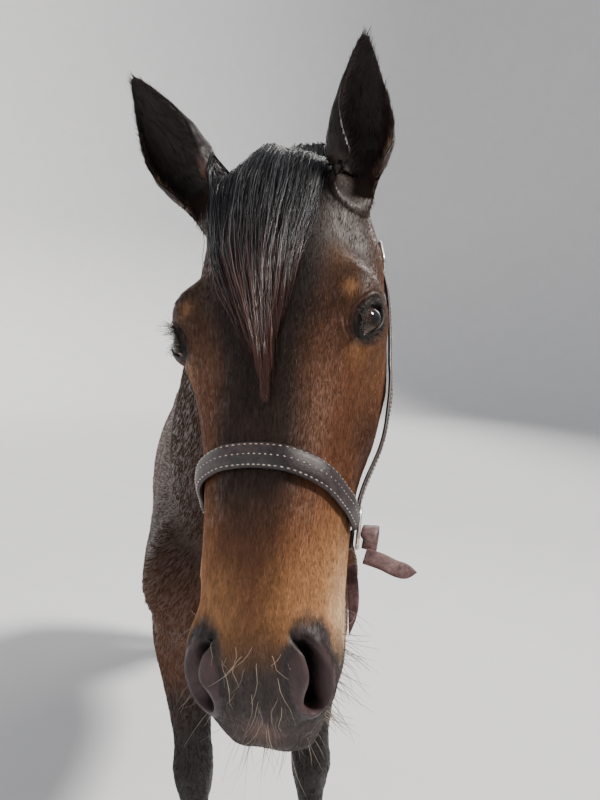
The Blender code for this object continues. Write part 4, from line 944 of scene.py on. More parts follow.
def add_ear(surface, tree, side_name):
    """An ear: rings that rise from the head as ovals and open into a shell whose section is a crescent
    with a rounded edge, wide in its lower half, rolled in at its edges and pointed at the tip."""
    spot, length, half = ear_frame(side_name)
    bow = np.array((math.copysign(EAR_BOW, spot.centre[0] - POLL[0]), 0, 0))
    t = np.arange(EAR_AROUND // 2) / (EAR_AROUND // 2)
    table = np.array(EAR_SECTIONS)
    oval = np.concatenate([-90 + 180 * t, 90 + 180 * t])
    foot_x, foot_z = EAR_FOOT
    foot, normal, _, _ = tree.find_nearest(Vector(spot.centre))
    ground = LocalFrame(foot, unit(np.array(normal)) + 0.8 * spot.axis, spot.first)
    if ground.second @ spot.second < 0:
        ground.second = -ground.second
    flat_z, flat_x = -foot_z * np.cos(np.radians(oval)), foot_x * np.sin(np.radians(oval))
    base = drop_onto(tree, ground.place(flat_z, flat_x, np.full(EAR_AROUND, 0.08)), -ground.axis)
    rings = [base]
    shares = np.concatenate(
        [np.linspace(0.02, 0.3, 15), np.linspace(0.3, 0.9, 24)[1:], np.linspace(0.9, 1.0, 7)[1:]]
    )
    for share in shares:
        wide, deep, reach = (np.interp(share, table[:, 0], table[:, i]) for i in (1, 2, 3))
        wide, deep = wide * half, deep * half
        swing = math.sin(math.pi * share)
        middle = spot.centre + spot.axis * length * share - spot.first * half * 0.35 * swing + bow * swing
        cup = smoothstep(np.array(share), 0.0, 0.085)
        bend = np.concatenate([-reach + 2 * reach * t, reach - 2 * reach * t])
        wall = min(0.0042, wide * 0.4) * np.concatenate([np.zeros_like(t), 0.35 + 0.65 * np.sin(math.pi * t)])
        curl = np.radians(bend)
        shell_z = -(deep - wall) * np.cos(curl)
        shell_x = (wide - wall) * np.sin(curl)
        whole = np.radians(oval)
        z = (1 - cup) * -deep * np.cos(whole) + cup * shell_z
        x = (1 - cup) * wide * np.sin(whole) + cup * shell_x
        ring = middle + z[:, None] * spot.first + x[:, None] * spot.second
        settle = smoothstep(np.array(share), 0.0, 0.17)
        rise = (0.5 * ground.axis + 0.5 * spot.axis) * 0.5 * length * share
        rings.append(base * (1 - settle) + ring * settle + rise * (1 - settle))
    z, x, h = ground.measures(surface[0])
    near = (np.hypot(x, z) < 0.08) & (np.abs(h) < 0.05) & (normals_of(*surface) @ ground.axis > -0.2)
    return graft_oval(surface, rings, ground, (foot_z, foot_x), near, (-1, 1))


# Finer forms of the skin: in the head's measures, then in the horse's frame, each with its place, radii
# and height, on both sides
FINE_HEAD_FORMS = (
    ((0.110, 0.262, -0.062), (0.02, 0.03, 0.012), -0.0025),
    ((0.098, 0.215, 0.004), (0.018, 0.03, 0.008), 0.003),
    ((0.040, 0.17, 0.016), (0.03, 0.07, 0.03), 0.003),
    ((0.0, 0.30, 0.015), (0.014, 0.12, 0.02), -0.002),
    ((0.030, 0.45, 0.003), (0.010, 0.10, 0.012), 0.002),
    ((0.093, 0.315, -0.098), (0.02, 0.055, 0.007), 0.0035),
    ((0.085, 0.385, -0.095), (0.02, 0.04, 0.014), -0.004),
    ((0.072, 0.50, -0.075), (0.02, 0.045, 0.012), -0.003),
    ((0.062, 0.555, -0.035), (0.015, 0.03, 0.008), 0.003),
    ((0.066, 0.60, -0.070), (0.014, 0.03, 0.010), 0.003),
    ((0.030, 0.648, -0.085), (0.022, 0.02, 0.014), 0.003),
    ((0.0, 0.640, -0.060), (0.006, 0.03, 0.03), -0.002),
    ((0.058, 0.575, -0.108), (0.012, 0.03, 0.006), 0.003),
    ((0.105, 0.10, -0.12), (0.02, 0.03, 0.05), -0.006),
    ((0.10, 0.20, -0.25), (0.03, 0.06, 0.02), 0.005),
)
FINE_BODY_FORMS = (
    ((0.27, -0.42, 1.22), (0.06, 0.035, 0.09), -0.008),
    ((0.25, -0.30, 1.02), (0.06, 0.06, 0.05), 0.008),
    ((0.20, -0.58, 1.26), (0.05, 0.03, 0.12), -0.006),
    ((0.10, -0.66, 1.36), (0.04, 0.05, 0.14), 0.007),
    ((0.165, -0.545, 0.50), (0.05, 0.03, 0.035), 0.006),
    ((0.205, -0.49, 0.49), (0.02, 0.03, 0.03), 0.004),
    ((0.20, -0.45, 0.33), (0.03, 0.008, 0.12), 0.003),
    ((0.20, 1.02, 0.66), (0.04, 0.03, 0.05), 0.008),
    ((0.185, 0.90, 0.63), (0.04, 0.025, 0.04), -0.005),
    ((0.31, 0.45, 1.02), (0.05, 0.06, 0.08), 0.008),
    ((0.26, 0.80, 1.20), (0.08, 0.03, 0.20), -0.006),
)
# Forms that the turned muzzle has on one side only
UNEVEN_FORMS = (
    ((-0.068, 0.575, -0.040), (0.025, 0.032, 0.03), 0.006),
    ((0.080, 0.598, -0.082), (0.03, 0.035, 0.035), -0.007),
    ((0.060, 0.634, -0.095), (0.03, 0.03, 0.03), -0.007),
    ((0.010, 0.660, -0.105), (0.022, 0.03, 0.03), 0.004),
)
# Lines on the head's side that stand up or sink in: points, width and height
HEAD_LINES = (
    (
        ((0.10, 0.33, -0.11), (0.085, 0.39, -0.075), (0.076, 0.45, -0.06), (0.066, 0.51, -0.045)),
        0.0035, 0.0022,
    ),
    (((0.085, 0.39, -0.075), (0.082, 0.43, -0.095), (0.074, 0.50, -0.10)), 0.003, 0.0016),
    (((0.105, 0.29, -0.13), (0.108, 0.25, -0.17), (0.10, 0.20, -0.23)), 0.004, 0.0018),
    (((0.080, 0.175, 0.010), (0.098, 0.185, 0.000), (0.110, 0.195, -0.018)), 0.0030, -0.0016),
    (((0.076, 0.160, 0.013), (0.096, 0.168, 0.000), (0.110, 0.175, -0.020)), 0.0032, -0.0012),
)


def mouth_line(tree):
    """Points along the lips, from corner to corner."""
    turns = np.radians(np.linspace(-118, 118, 61))
    start = np.stack([0 * turns, np.full(61, 0.56), MOUTH_HEIGHT - 0.006 * (1 - np.cos(turns))], axis=1)
    ways = head_directions(np.stack([np.sin(turns), np.cos(turns), 0 * turns], axis=1))
    starts = at_head(start) + ways * 0.2
    return np.array([tuple(tree.ray_cast(Vector(a), -Vector(w))[0] or a) for a, w in zip(starts, ways)])


def sculpt(points, triangles):
    """Finer forms: each moves the skin along its normal by a bell curve of its distance."""
    normal = normals_of(points, triangles)
    shift = np.full(len(points), -settings().coat_depth)
    places = head_places(points)
    on_head = np.linalg.norm(points - WARP_CENTRE, axis=1) < WARP_REACH
    for side in SIDES.values():
        for centre, radii, height in FINE_HEAD_FORMS:
            share = height * (1 if centre[0] else 0.5)
            shift += on_head * bell(places, np.array(centre) * (side, 1, 1), radii) * share
        for centre, radii, height in FINE_BODY_FORMS:
            shift += bell(points, np.array(centre) * (side, 1, 1), radii) * height
        for line, width, height in HEAD_LINES:
            shift += on_head * near_line(places, np.array(line) * (side, 1, 1), width) * height
    for centre, radii, height in UNEVEN_FORMS:
        shift += on_head * bell(places, centre, radii) * height
    lips = mouth_line(surface_tree((points, triangles)))
    near = (places[:, 1] > 0.5) & on_head
    some = points[near]
    lift = head_directions((0, 0, 1)) * 0.009
    shift[near] -= 0.0042 * near_line(some, lips, 0.0026)
    shift[near] += 0.0022 * near_line(some, lips + lift, 0.006)
    shift[near] += 0.0026 * near_line(some, lips - lift, 0.006)
    return points + normal * shift[:, None]


def make_skin_surface():
    """The whole skin as one closed surface: joined forms, finer ones, ears, lids and nostrils."""
    points, triangles = joined_body()
    places = head_places(points)
    on_head = np.linalg.norm(points - WARP_CENTRE, axis=1) < WARP_REACH
    muzzle = on_head & (places[:, 1] > 0.50)
    points, triangles = refine(points, triangles, muzzle[triangles].all(axis=1))
    places = head_places(points)
    lips = mouth_line(surface_tree((points, triangles)))
    close = np.zeros(len(points), bool)
    front = (places[:, 1] > 0.48) & (places[:, 1] < 0.7) & (np.abs(places[:, 0]) < 0.12)
    close[front] = near_line(points[front], lips, 0.01) > 0.3
    for side in SIDES.values():
        spot = nostril_frame(side)
        close |= np.linalg.norm(points - spot.centre, axis=1) < 0.05
    points, triangles = refine(points, triangles, close[triangles].all(axis=1))
    for side_name in SIDES:
        for _ in range(2):
            near = np.linalg.norm(points - eye_frame(side_name).centre, axis=1) < 0.06
            points, triangles = refine(points, triangles, near[triangles].all(axis=1))
    points = sculpt(points, triangles)
    surface = points, triangles
    tree = surface_tree(surface)
    for side_name, side in SIDES.items():
        surface = add_ear(surface, tree, side_name)
        surface = add_eye(surface, tree, side_name)
        surface = add_nostril(surface, tree, side)
    return smooth_seams(surface, tree)


def smooth_seams(surface, tree):
    """The skin with the edges of its eyes, nostrils and ears relaxed into the head."""
    points, triangles = surface
    soft = np.zeros(len(points))
    for side_name, side in SIDES.items():
        spot, _, _ = ear_frame(side_name)
        foot = np.array(tree.find_nearest(Vector(spot.centre))[0])
        soft = np.maximum(soft, 0.7 * bell(points, foot, (0.05, 0.05, 0.05)))
        for spot, size in ((nostril_frame(side), NOSTRIL_PATCH), (eye_frame(side_name), EYE_PATCH)):
            x, y, h = spot.measures(points)
            ring = np.hypot(x / size[0], y / size[1])
            seam = np.exp(-(((ring - 1.0) / 0.06) ** 2)) * (np.abs(h) < 0.06)
            soft = np.maximum(soft, seam)
    return relax(points, edges_of(triangles), 0.55 * soft, 8), triangles


def value_noise(points, size, seed=0):
    """Smooth random values from -1 to 1, alike within the given size: random values on a grid, blended
    between its corners."""
    place = points / size + seed * 17.31
    cell = np.floor(place)
    share = place - cell
    share = share * share * (3 - 2 * share)
    total = np.zeros(len(points))
    for corner in np.ndindex(2, 2, 2):
        spot = cell + corner
        mixed = spot @ np.array((127.1, 311.7, 74.7)) + seed * 3.7
        value = np.mod(np.sin(mixed) * 43758.5453, 1.0) * 2 - 1
        weight = np.prod(np.where(np.array(corner) == 1, share, 1 - share), axis=1)
        total += value * weight
    return total


def mix(first, second, share):
    """Rows between two, by a share for each."""
    return first + (second - first) * share[:, None]


def head_weight(points):
    """How far a point belongs to the head: 1 on the face, falling to 0 behind the cheek and the poll."""
    _, along, height = head_places(points).T
    reach = smoothstep(np.linalg.norm(points - WARP_CENTRE, axis=1), 0.60, 0.44)
    behind = smoothstep(height + 0.33 + 0.25 * np.clip(along, 0, 1), -0.03, 0.06)
    return reach * behind * smoothstep(along, -0.08, 0.0)


# Dabs of colour on the face, one over the other: colour, its brightness, its share in the middle, and
# the place and radii in the head's measures
FACE_DABS = {
    "cheek": ("red", 1.0, 0.5, (0.10, 0.19, -0.17), (0.05, 0.08, 0.08)),
    "base of the ear": ("black", 1.0, 0.85, (0.090, 0.055, -0.010), (0.045, 0.05, 0.05)),
    "temple": ("black", 1.5, 0.6, (0.090, 0.140, -0.020), (0.045, 0.055, 0.045)),
    "below the eye": ("tan", 0.55, 0.35, (0.105, 0.27, -0.06), (0.04, 0.045, 0.035)),
    "above the eye": ("tan", 0.8, 0.75, (0.096, 0.222, 0.008), (0.008, 0.010, 0.012)),
    "corner of the eye": ("tan", 0.7, 0.45, (0.100, 0.290, -0.020), (0.012, 0.012, 0.016)),
    "brow": ("tan", 0.45, 0.4, (0.09, 0.17, -0.004), (0.022, 0.03, 0.02)),
    "face crest": ("black", 1.0, 0.5, (0.095, 0.36, -0.09), (0.03, 0.05, 0.05)),
    "side of the muzzle": ("tan", 1.0, 1.0, (0.072, 0.515, -0.062), (0.034, 0.055, 0.050)),
    # Painted highlight: a pale patch on each side of the muzzle, over the tan
    "painted highlight on the muzzle": ("pale", 1.0, 0.9, (0.074, 0.550, -0.085), (0.026, 0.055, 0.035)),
    "above the nostril": ("tan", 0.85, 0.85, (0.034, 0.550, -0.018), (0.026, 0.045, 0.03)),
    "between the nostrils": ("tan", 0.5, 0.7, (0.012, 0.585, -0.025), (0.026, 0.035, 0.03)),
    "bars of the jaw": ("tan", 0.6, 0.6, (0.045, 0.50, -0.15), (0.04, 0.06, 0.03)),
}
# Colours of small places of the skin, among them a painted highlight for the muzzle's sides, painted
# shade for the nostrils' passages, and the ears' dark skin taken near black as painted shade in their cups
MUZZLE_HIGHLIGHT_COLOUR = np.array((0.48, 0.33, 0.20))
PINK_LIP_COLOUR = np.array((0.20, 0.12, 0.10))
NOSTRIL_COLOUR = np.array((0.050, 0.030, 0.030))
PAINTED_PASSAGE_SHADE = np.array((0.004, 0.002, 0.002))
EAR_CUP_SKIN_AND_SHADE = np.array((0.010, 0.005, 0.004))
EAR_FOLD_COLOUR = np.array((0.13, 0.062, 0.050))


def coat_colour(points, normal):
    """The coat's colour at points of the horse's frame: bay with black points, a black bridge of the nose,
    red cheeks, tan round the eyes and on the muzzle's sides, and grey skin on lips and nostrils. Painted
    light is mixed in as well: painted shade over the neck, deep in the nostrils and in the ears' cups, and
    a painted highlight on each side of the muzzle."""
    colours = {name: np.array(getattr(settings(), name)) for name in ("bay", "black", "red", "tan", "grey")}
    # The pale colour is the muzzle's painted highlight
    colours["pale"] = MUZZLE_HIGHLIGHT_COLOUR
    x, y, z = points.T
    base = np.tile(colours["bay"], (len(points), 1))
    base = mix(base, colours["red"] * 0.8, 0.45 * smoothstep(z, 1.15, 0.92) * smoothstep(z, 0.7, 0.85))
    for way in SIDES.values():
        base = mix(base, colours["red"], 0.5 * bell(points, (0.3 * way, 0.35, 1.1), (0.2, 0.2, 0.2)))
    base = mix(base, colours["black"] * 1.6, 0.55 * smoothstep(z, 1.4, 1.7) * smoothstep(y, -0.5, 0.0))
    dark_legs = smoothstep(z + 0.03 * value_noise(points, 0.05, 3), 0.86, 0.60)
    base = mix(base, colours["black"], dark_legs)
    base = mix(base, colours["black"], 0.35 * smoothstep(y, 0.9, 1.0) * smoothstep(z, 1.0, 1.2))
    # Painted shade: the neck, forward of the shoulder and above the breast, darkened towards a deep bay
    base = mix(base, colours["bay"] * 0.38, 0.85 * smoothstep(y, -0.30, -0.60) * smoothstep(z, 1.05, 1.25))
    across, along, height = head_places(points).T
    side = np.abs(across)
    cheeks = smoothstep(-height, 0.03, 0.10) * smoothstep(along, 0.5, 0.3)
    face = mix(np.tile(colours["bay"] * 0.9, (len(points), 1)), colours["red"], cheeks)
    local = np.stack([side, along, height], axis=1)

    def dab(colour, share, centre, radii):
        nonlocal face
        face = mix(face, colour, np.clip(share * bell(local, centre, radii), 0, 1))

    narrow = side + 0.022 * smoothstep(along, 0.18, 0.32)
    bridge = smoothstep(height, -0.055, -0.012) * smoothstep(narrow, 0.086, 0.050)
    front = smoothstep(along, 0.20, 0.34) * smoothstep(height, -0.12, -0.05)
    face = mix(face, colours["red"] * 1.1, 0.8 * front)
    lower = smoothstep(along + 0.02 * value_noise(points, 0.03, 8), 0.43, 0.53)
    face = mix(face, colours["black"] * 1.3, bridge * 0.90 * (1 - lower))
    face = mix(face, colours["red"] * 1.25, smoothstep(along, 0.42, 0.50) * 0.85)
    ridge = smoothstep(side, 0.045, 0.015) * smoothstep(height, -0.05, -0.01)
    ridge = ridge * smoothstep(along, 0.60, 0.46) * smoothstep(along, 0.40, 0.46)
    face = mix(face, colours["black"] * 1.5, 0.55 * ridge)
    for name, brightness, share, centre, radii in FACE_DABS.values():
        dab(colours[name] * brightness, share, centre, radii)
    muzzle = smoothstep(along + 0.25 * (-height - 0.08) + 0.012 * value_noise(points, 0.02, 9), 0.546, 0.590)
    face = mix(face, colours["grey"], muzzle * 0.94)
    dab(colours["grey"] * 0.8, 1.0, (0.0, 0.60, -0.15), (0.07, 0.04, 0.03))
    dab(PINK_LIP_COLOUR, 0.75, (0.0, 0.650, -0.066), (0.016, 0.022, 0.010))
    lid = lid_distance(points) + 0.0015 * value_noise(points, 0.008, 12)
    face = mix(face, colours["grey"] * 0.6, 0.65 * smoothstep(lid, 0.014, 0.005))
    face = mix(face, colours["black"] * 0.8, smoothstep(lid, 0.0055, 0.0025))
    for way in SIDES.values():
        spot = nostril_frame(way)
        u, v, h = spot.measures(points)
        ring = (u / (NOSTRIL_HALF_LENGTH + 0.004)) ** 2 + (v / (NOSTRIL_HALF_WIDTH + 0.003)) ** 2
        rim = smoothstep(ring + 0.35 * value_noise(points, 0.012, 11), 2.0, 1.05) * (np.abs(h) < 0.05)
        face = mix(face, colours["grey"] * 0.85, rim)
        within = smoothstep(ring, 1.15, 0.8) * (h > -0.09)
        face = mix(face, NOSTRIL_COLOUR, within * smoothstep(h, -0.002, -0.010))
        # Painted shade: the passage darkens to near black deeper inside the nostril
        face = mix(face, PAINTED_PASSAGE_SHADE, within * smoothstep(h, -0.018, -0.032))
    result = mix(base, face, head_weight(points))
    crest = near_line(points, crest_points(np.linspace(-0.05, 1, 12)), 0.030)
    fringe = bell(head_places(points), (-0.007, 0.03, 0.0), (0.06, 0.12, 0.06))
    result = mix(result, colours["black"], np.clip(1.6 * np.maximum(crest, fringe), 0, 1))
    for name in SIDES:
        spot, length, _ = ear_frame(name)
        z, x, h = spot.measures(points)
        ragged = h + 0.010 * value_noise(points, 0.010, 13)
        on_ear = smoothstep(np.hypot(x, z), 0.062, 0.05) * smoothstep(ragged, 0.002, 0.040)
        on_ear = on_ear * (h < length * 1.1)
        inner = smoothstep(normal @ spot.first, -0.2, 0.5)
        shade = np.tile(colours["bay"] * 0.26, (len(points), 1))
        shade = mix(shade, colours["black"], smoothstep(h / length, 0.35, 0.85))
        # The ear's inner face: its dark skin, with painted shade of the cup taking it near black
        shade = mix(shade, EAR_CUP_SKIN_AND_SHADE, inner * smoothstep(h / length, 0.02, 0.14))
        fold = bell(np.stack([x * np.sign(spot.second[0]), h], axis=1), (0.022, 0.018), (0.009, 0.028))
        shade = mix(shade, EAR_FOLD_COLOUR, 0.8 * fold * (z > 0))
        result = mix(result, shade, on_ear)
    patchy = 1 + 0.12 * value_noise(points, 0.05, 1) + 0.08 * value_noise(points, 0.014, 2)
    return np.clip(result * patchy[:, None], 0.002, 1)


def hair_lie(points, normal):
    """The way the coat lies: down the face, back and down along the neck, back along the body and down
    the legs, laid into the surface."""
    _, y, z = points.T
    lie = np.tile((0.0, 1.0, -0.18), (len(points), 1))
    neck = smoothstep(y, -0.45, -0.75)
    lie = mix(lie, np.array((0.0, 0.75, -0.65)), neck)
    lie = mix(lie, np.array((0.0, 0.25, -1.0)), smoothstep(z, 1.05, 0.8))
    haunch = smoothstep(y, 0.6, 0.8) * smoothstep(z, 1.5, 1.2)
    lie = mix(lie, np.array((0.0, 0.25, -1.0)), haunch)
    down = head_directions((0, 1, 0))
    outward = head_directions((0, 0.35, -0.55))
    height = head_places(points)[:, 2]
    cheek = smoothstep(-height, 0.09, 0.2)
    face = down + (outward - down) * cheek[:, None] * 0.6
    lie = mix(lie, np.zeros(3), head_weight(points)) + face * head_weight(points)[:, None]
    for name in SIDES:
        spot = ear_frame(name)[0]
        a, b, h = spot.measures(points)
        on_ear = smoothstep(np.hypot(a, b), 0.065, 0.05) * smoothstep(h, 0.01, 0.04)
        lie = mix(lie, spot.axis, on_ear)
    return unit(lie - normal * (lie * normal).sum(axis=1)[:, None])


def comb_places(points):
    """Places in which the coat's lie runs along the third number, for the fine bump of the hair."""
    trunk = points[:, [0, 2, 1]]
    legs = points[:, [0, 1, 2]]
    face = head_places(points)[:, [0, 2, 1]]
    leg_share = smoothstep(points[:, 2], 1.0, 0.85)
    return mix(mix(trunk, legs, leg_share), face, np.round(head_weight(points)))


def unwrap(points):
    """A place on the flat layout of the skin: a strip for each part, along it and round it."""
    x, y, z = points.T
    across, along, height = head_places(points).T
    round_head = (np.arctan2(across, height + 0.12) / (2 * math.pi)) % 1
    round_body = (np.arctan2(x, z - 1.2) / (2 * math.pi)) % 1
    on_head = head_weight(points) > 0.5
    leg_round = (np.arctan2(np.abs(x) - 0.16, y - np.where(y < 0.2, -0.47, 0.9)) / (2 * math.pi)) % 1
    u_head = 0.02 + 0.44 * np.clip((along + 0.2) / 0.9, 0, 1)
    u_body = 0.50 + 0.48 * np.clip((y + 1.4) / 2.5, 0, 1)
    u = np.where(on_head, u_head, u_body)
    v = np.where(on_head, 0.52 + 0.46 * round_head, 0.52 + 0.46 * round_body)
    low = (z < 0.95) & ~on_head
    column = (x > 0) * 2 + (y > 0.2)
    u = np.where(low, 0.02 + 0.24 * column + 0.21 * leg_round, u)
    v = np.where(low, 0.02 + 0.46 * np.clip(z / 0.95, 0, 1), v)
    return np.stack([u, v], axis=1)


def new_piece(name, surface, material, smooth=True):
    """A finished piece of the model, made of arrays in the horse's frame."""
    points, triangles = surface
    mesh = mesh_from(name, points + STANCE_SHIFT, triangles)
    mesh.materials.append(material)
    mesh.polygons.foreach_set("use_smooth", np.full(len(triangles), smooth))
    piece = bpy.data.objects.new(name, mesh)
    bpy.context.scene.collection.objects.link(piece)
    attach(piece, "root")
    return piece


def give_colours(piece, colours):
    """Store a colour for each point, for the material to read."""
    layer = piece.data.color_attributes.new("Colour", "FLOAT_COLOR", "POINT")
    opaque = np.hstack([colours, np.ones((len(colours), 1))])
    layer.data.foreach_set("color", opaque.astype(np.float32).ravel())


def give_vectors(piece, name, vectors):
    """Store a vector for each point, for the material to read."""
    layer = piece.data.attributes.new(name, "FLOAT_VECTOR", "POINT")
    layer.data.foreach_set("vector", np.asarray(vectors, np.float32).ravel())


class Nodes:
    """A short way to write a material's nodes."""

    def __init__(self, name):
        self.material = bpy.data.materials.new(name)
        self.material.use_nodes = True
        self.tree = self.material.node_tree
        self.shader = self.tree.nodes["Principled BSDF"]

    def add(self, kind, **values):
        node = self.tree.nodes.new(kind)
        for key, value in values.items():
            if key in node.inputs:
                node.inputs[key].default_value = value
            else:
                setattr(node, key, value)
        return node

    def link(self, source, target):
        self.tree.links.new(source, target)

    def math(self, operation, first, second):
        node = self.add("ShaderNodeMath", operation=operation)
        for socket, value in zip(node.inputs, (first, second)):
            if isinstance(value, (int, float)):
                socket.default_value = value
            else:
                self.link(value, socket)
        return node.outputs[0]

    def noise(self, place, scale, detail=2.0, roughness=0.5):
        node = self.add("ShaderNodeTexNoise", Scale=scale, Detail=detail, Roughness=roughness)
        self.link(place, node.inputs["Vector"])
        return node.outputs["Fac"]

    def stretched(self, place, scales):
        node = self.add("ShaderNodeMapping", Scale=scales)
        self.link(place, node.inputs["Vector"])
        return node.outputs["Vector"]

    def object_place(self):
        return self.add("ShaderNodeTexCoord").outputs["Object"]

    def attribute(self, name, output="Color"):
        return self.add("ShaderNodeAttribute", attribute_name=name).outputs[output]

    def ramp(self, value, low, high, dark, light):
        node = self.add("ShaderNodeMapRange")
        self.link(value, node.inputs["Value"])
        for key, number in (("From Min", low), ("From Max", high), ("To Min", dark), ("To Max", light)):
            node.inputs[key].default_value = number
        return node.outputs["Result"]

    def scaled_colour(self, colour, factor):
        node = self.add("ShaderNodeVectorMath", operation="SCALE")
        self.link(colour, node.inputs[0])
        self.link(factor, node.inputs["Scale"])
        return node.outputs["Vector"]

    def blend(self, factor, first, second):
        node = self.add("ShaderNodeMix", data_type="RGBA")
        node.inputs[6].default_value = (*first, 1)
        node.inputs[7].default_value = (*second, 1)
        self.link(factor, node.inputs[0])
        return node.outputs[2]

    def stored_colour(self, factor):
        """The piece's stored colour, made darker and lighter by a factor, as the shader's base colour."""
        self.link(self.scaled_colour(self.attribute("Colour"), factor), self.shader.inputs["Base Color"])

    def bump(self, height, strength, distance, before=None):
        node = self.add("ShaderNodeBump", Strength=strength, Distance=distance)
        self.link(height, node.inputs["Height"])
        if before:
            self.link(before, node.inputs["Normal"])
        return node.outputs["Normal"]

    def finish(self, **values):
        for key, value in values.items():
            self.shader.inputs[key.replace("_", " ")].default_value = value
        return self.material


def coat_material(name, roughness, variation, bump, specular=0.32):
    """Hair over skin: the stored colour, streaked and pitted along the coat's lie."""
    n = Nodes(name)
    comb = n.attribute("Comb", "Vector")
    fine = n.noise(n.stretched(comb, (1400.0, 1400.0, 110.0)), 1.0, 3.0)
    broad = n.noise(n.stretched(comb, (160.0, 160.0, 30.0)), 1.0, 3.0)
    shade = n.math("ADD", n.ramp(fine, 0.3, 0.7, -variation, variation), n.ramp(broad, 0.3, 0.7, 0.82, 1.18))
    n.stored_colour(shade)
    n.link(n.ramp(broad, 0.3, 0.7, roughness + 0.08, roughness - 0.06), n.shader.inputs["Roughness"])
    normal = n.bump(broad, 0.25, 0.002)
    n.link(n.bump(fine, bump, 0.0006, normal), n.shader.inputs["Normal"])
    return n.finish(Sheen_Weight=0.03, Sheen_Roughness=0.4, Specular_IOR_Level=specular)


def strand_material(name, roughness):
    """Long hair: the stored colour, in fine streaks along each strand."""
    n = Nodes(name)
    comb = n.attribute("Comb", "Vector")
    streak = n.noise(n.stretched(comb, (1500.0, 1500.0, 30.0)), 1.0, 2.0)
    n.stored_colour(n.ramp(streak, 0.3, 0.7, 0.7, 1.3))
    n.link(n.ramp(streak, 0.3, 0.7, roughness + 0.08, roughness - 0.05), n.shader.inputs["Roughness"])
    n.link(n.bump(streak, 0.3, 0.0005), n.shader.inputs["Normal"])
    return n.finish(Specular_IOR_Level=0.5, Anisotropic=0.5)


def eye_material():
    """The wet ball of the eye: the stored colour of iris, pupil and rim under a clear glossy coat."""
    n = Nodes("Wet eye")
    place = n.object_place()
    mottle = n.noise(place, 700.0, 3.0)
    n.stored_colour(n.ramp(mottle, 0.3, 0.7, 0.75, 1.25))
    n.link(n.ramp(mottle, 0.3, 0.7, 0.06, 0.03), n.shader.inputs["Roughness"])
    return n.finish(Coat_Weight=1.0, Coat_Roughness=0.02, Specular_IOR_Level=0.1)


def horn_material():
    """Hoof horn: growth lines round the wall, fine fibres down it and patches of dust."""
    n = Nodes("Hoof horn")
    place = n.object_place()
    rings = n.noise(n.stretched(place, (6.0, 6.0, 260.0)), 1.0, 3.0)
    fibres = n.noise(n.stretched(place, (420.0, 420.0, 14.0)), 1.0, 3.0)
    dust = n.noise(place, 26.0, 4.0)
    shade = n.math("MULTIPLY", n.ramp(rings, 0.3, 0.7, 0.75, 1.3), n.ramp(fibres, 0.3, 0.7, 0.8, 1.2))
    colour = n.blend(n.ramp(dust, 0.45, 0.75, 0.0, 0.6), (0.045, 0.038, 0.033), (0.16, 0.13, 0.10))
    n.link(n.scaled_colour(colour, shade), n.shader.inputs["Base Color"])
    n.link(n.ramp(dust, 0.3, 0.7, 0.42, 0.7), n.shader.inputs["Roughness"])
    normal = n.bump(rings, 0.35, 0.0015)
    n.link(n.bump(fibres, 0.25, 0.0006, normal), n.shader.inputs["Normal"])
    return n.finish(Specular_IOR_Level=0.4)


def leather_material(name, dark, light):
    """Oiled leather: grain cells, soft creases and paler wear where the grain stands up."""
    n = Nodes(name)
    place = n.object_place()
    grain = n.add("ShaderNodeTexVoronoi", Scale=900.0)
    n.link(place, grain.inputs["Vector"])
    cells = grain.outputs["Distance"]
    crease = n.noise(place, 150.0, 5.0, 0.6)
    wear = n.noise(place, 34.0, 4.0)
    worn = n.math("MULTIPLY", wear, n.ramp(crease, 0.3, 0.7, 0.6, 1.4))
    colour = n.blend(n.ramp(worn, 0.3, 0.75, 0.0, 1.0), dark, light)
    grained = n.scaled_colour(colour, n.ramp(cells, 0.0, 0.7, 0.75, 1.2))
    n.link(grained, n.shader.inputs["Base Color"])
    n.link(n.ramp(wear, 0.3, 0.7, 0.36, 0.55), n.shader.inputs["Roughness"])
    normal = n.bump(crease, 0.3, 0.0012)
    n.link(n.bump(cells, 0.25, 0.0005, normal), n.shader.inputs["Normal"])
    return n.finish(Specular_IOR_Level=0.5)


def thread_material():
    """Pale waxed thread, a little soiled."""
    n = Nodes("Waxed thread")
    place = n.object_place()
    soil = n.noise(place, 260.0, 3.0)
    colour = n.blend(n.ramp(soil, 0.35, 0.7, 0.0, 1.0), (0.62, 0.56, 0.48), (0.26, 0.21, 0.17))
    n.link(colour, n.shader.inputs["Base Color"])
    n.link(n.ramp(soil, 0.3, 0.7, 0.5, 0.7), n.shader.inputs["Roughness"])
    return n.finish(Specular_IOR_Level=0.35)


def steel_material():
    """Worn nickel plate with fine scratches and duller patches."""
    n = Nodes("Worn nickel")
    place = n.object_place()
    patch = n.noise(place, 120.0, 4.0)
    scratch = n.noise(n.stretched(place, (2400.0, 300.0, 300.0)), 1.0, 3.0)
    colour = n.blend(n.ramp(patch, 0.45, 0.7, 0.0, 1.0), (0.62, 0.60, 0.56), (0.30, 0.26, 0.21))
    n.link(colour, n.shader.inputs["Base Color"])
    n.link(n.ramp(patch, 0.3, 0.7, 0.22, 0.45), n.shader.inputs["Roughness"])
    n.link(n.bump(scratch, 0.2, 0.0003), n.shader.inputs["Normal"])
    return n.finish(Metallic=1.0)


def floor_material():
    """A pale, even studio floor with the faintest grain."""
    n = Nodes("Studio floor")
    grain = n.noise(n.object_place(), 3.0, 4.0)
    n.link(n.blend(grain, (0.66, 0.66, 0.67), (0.72, 0.72, 0.73)), n.shader.inputs["Base Color"])
    return n.finish(Roughness=0.75)


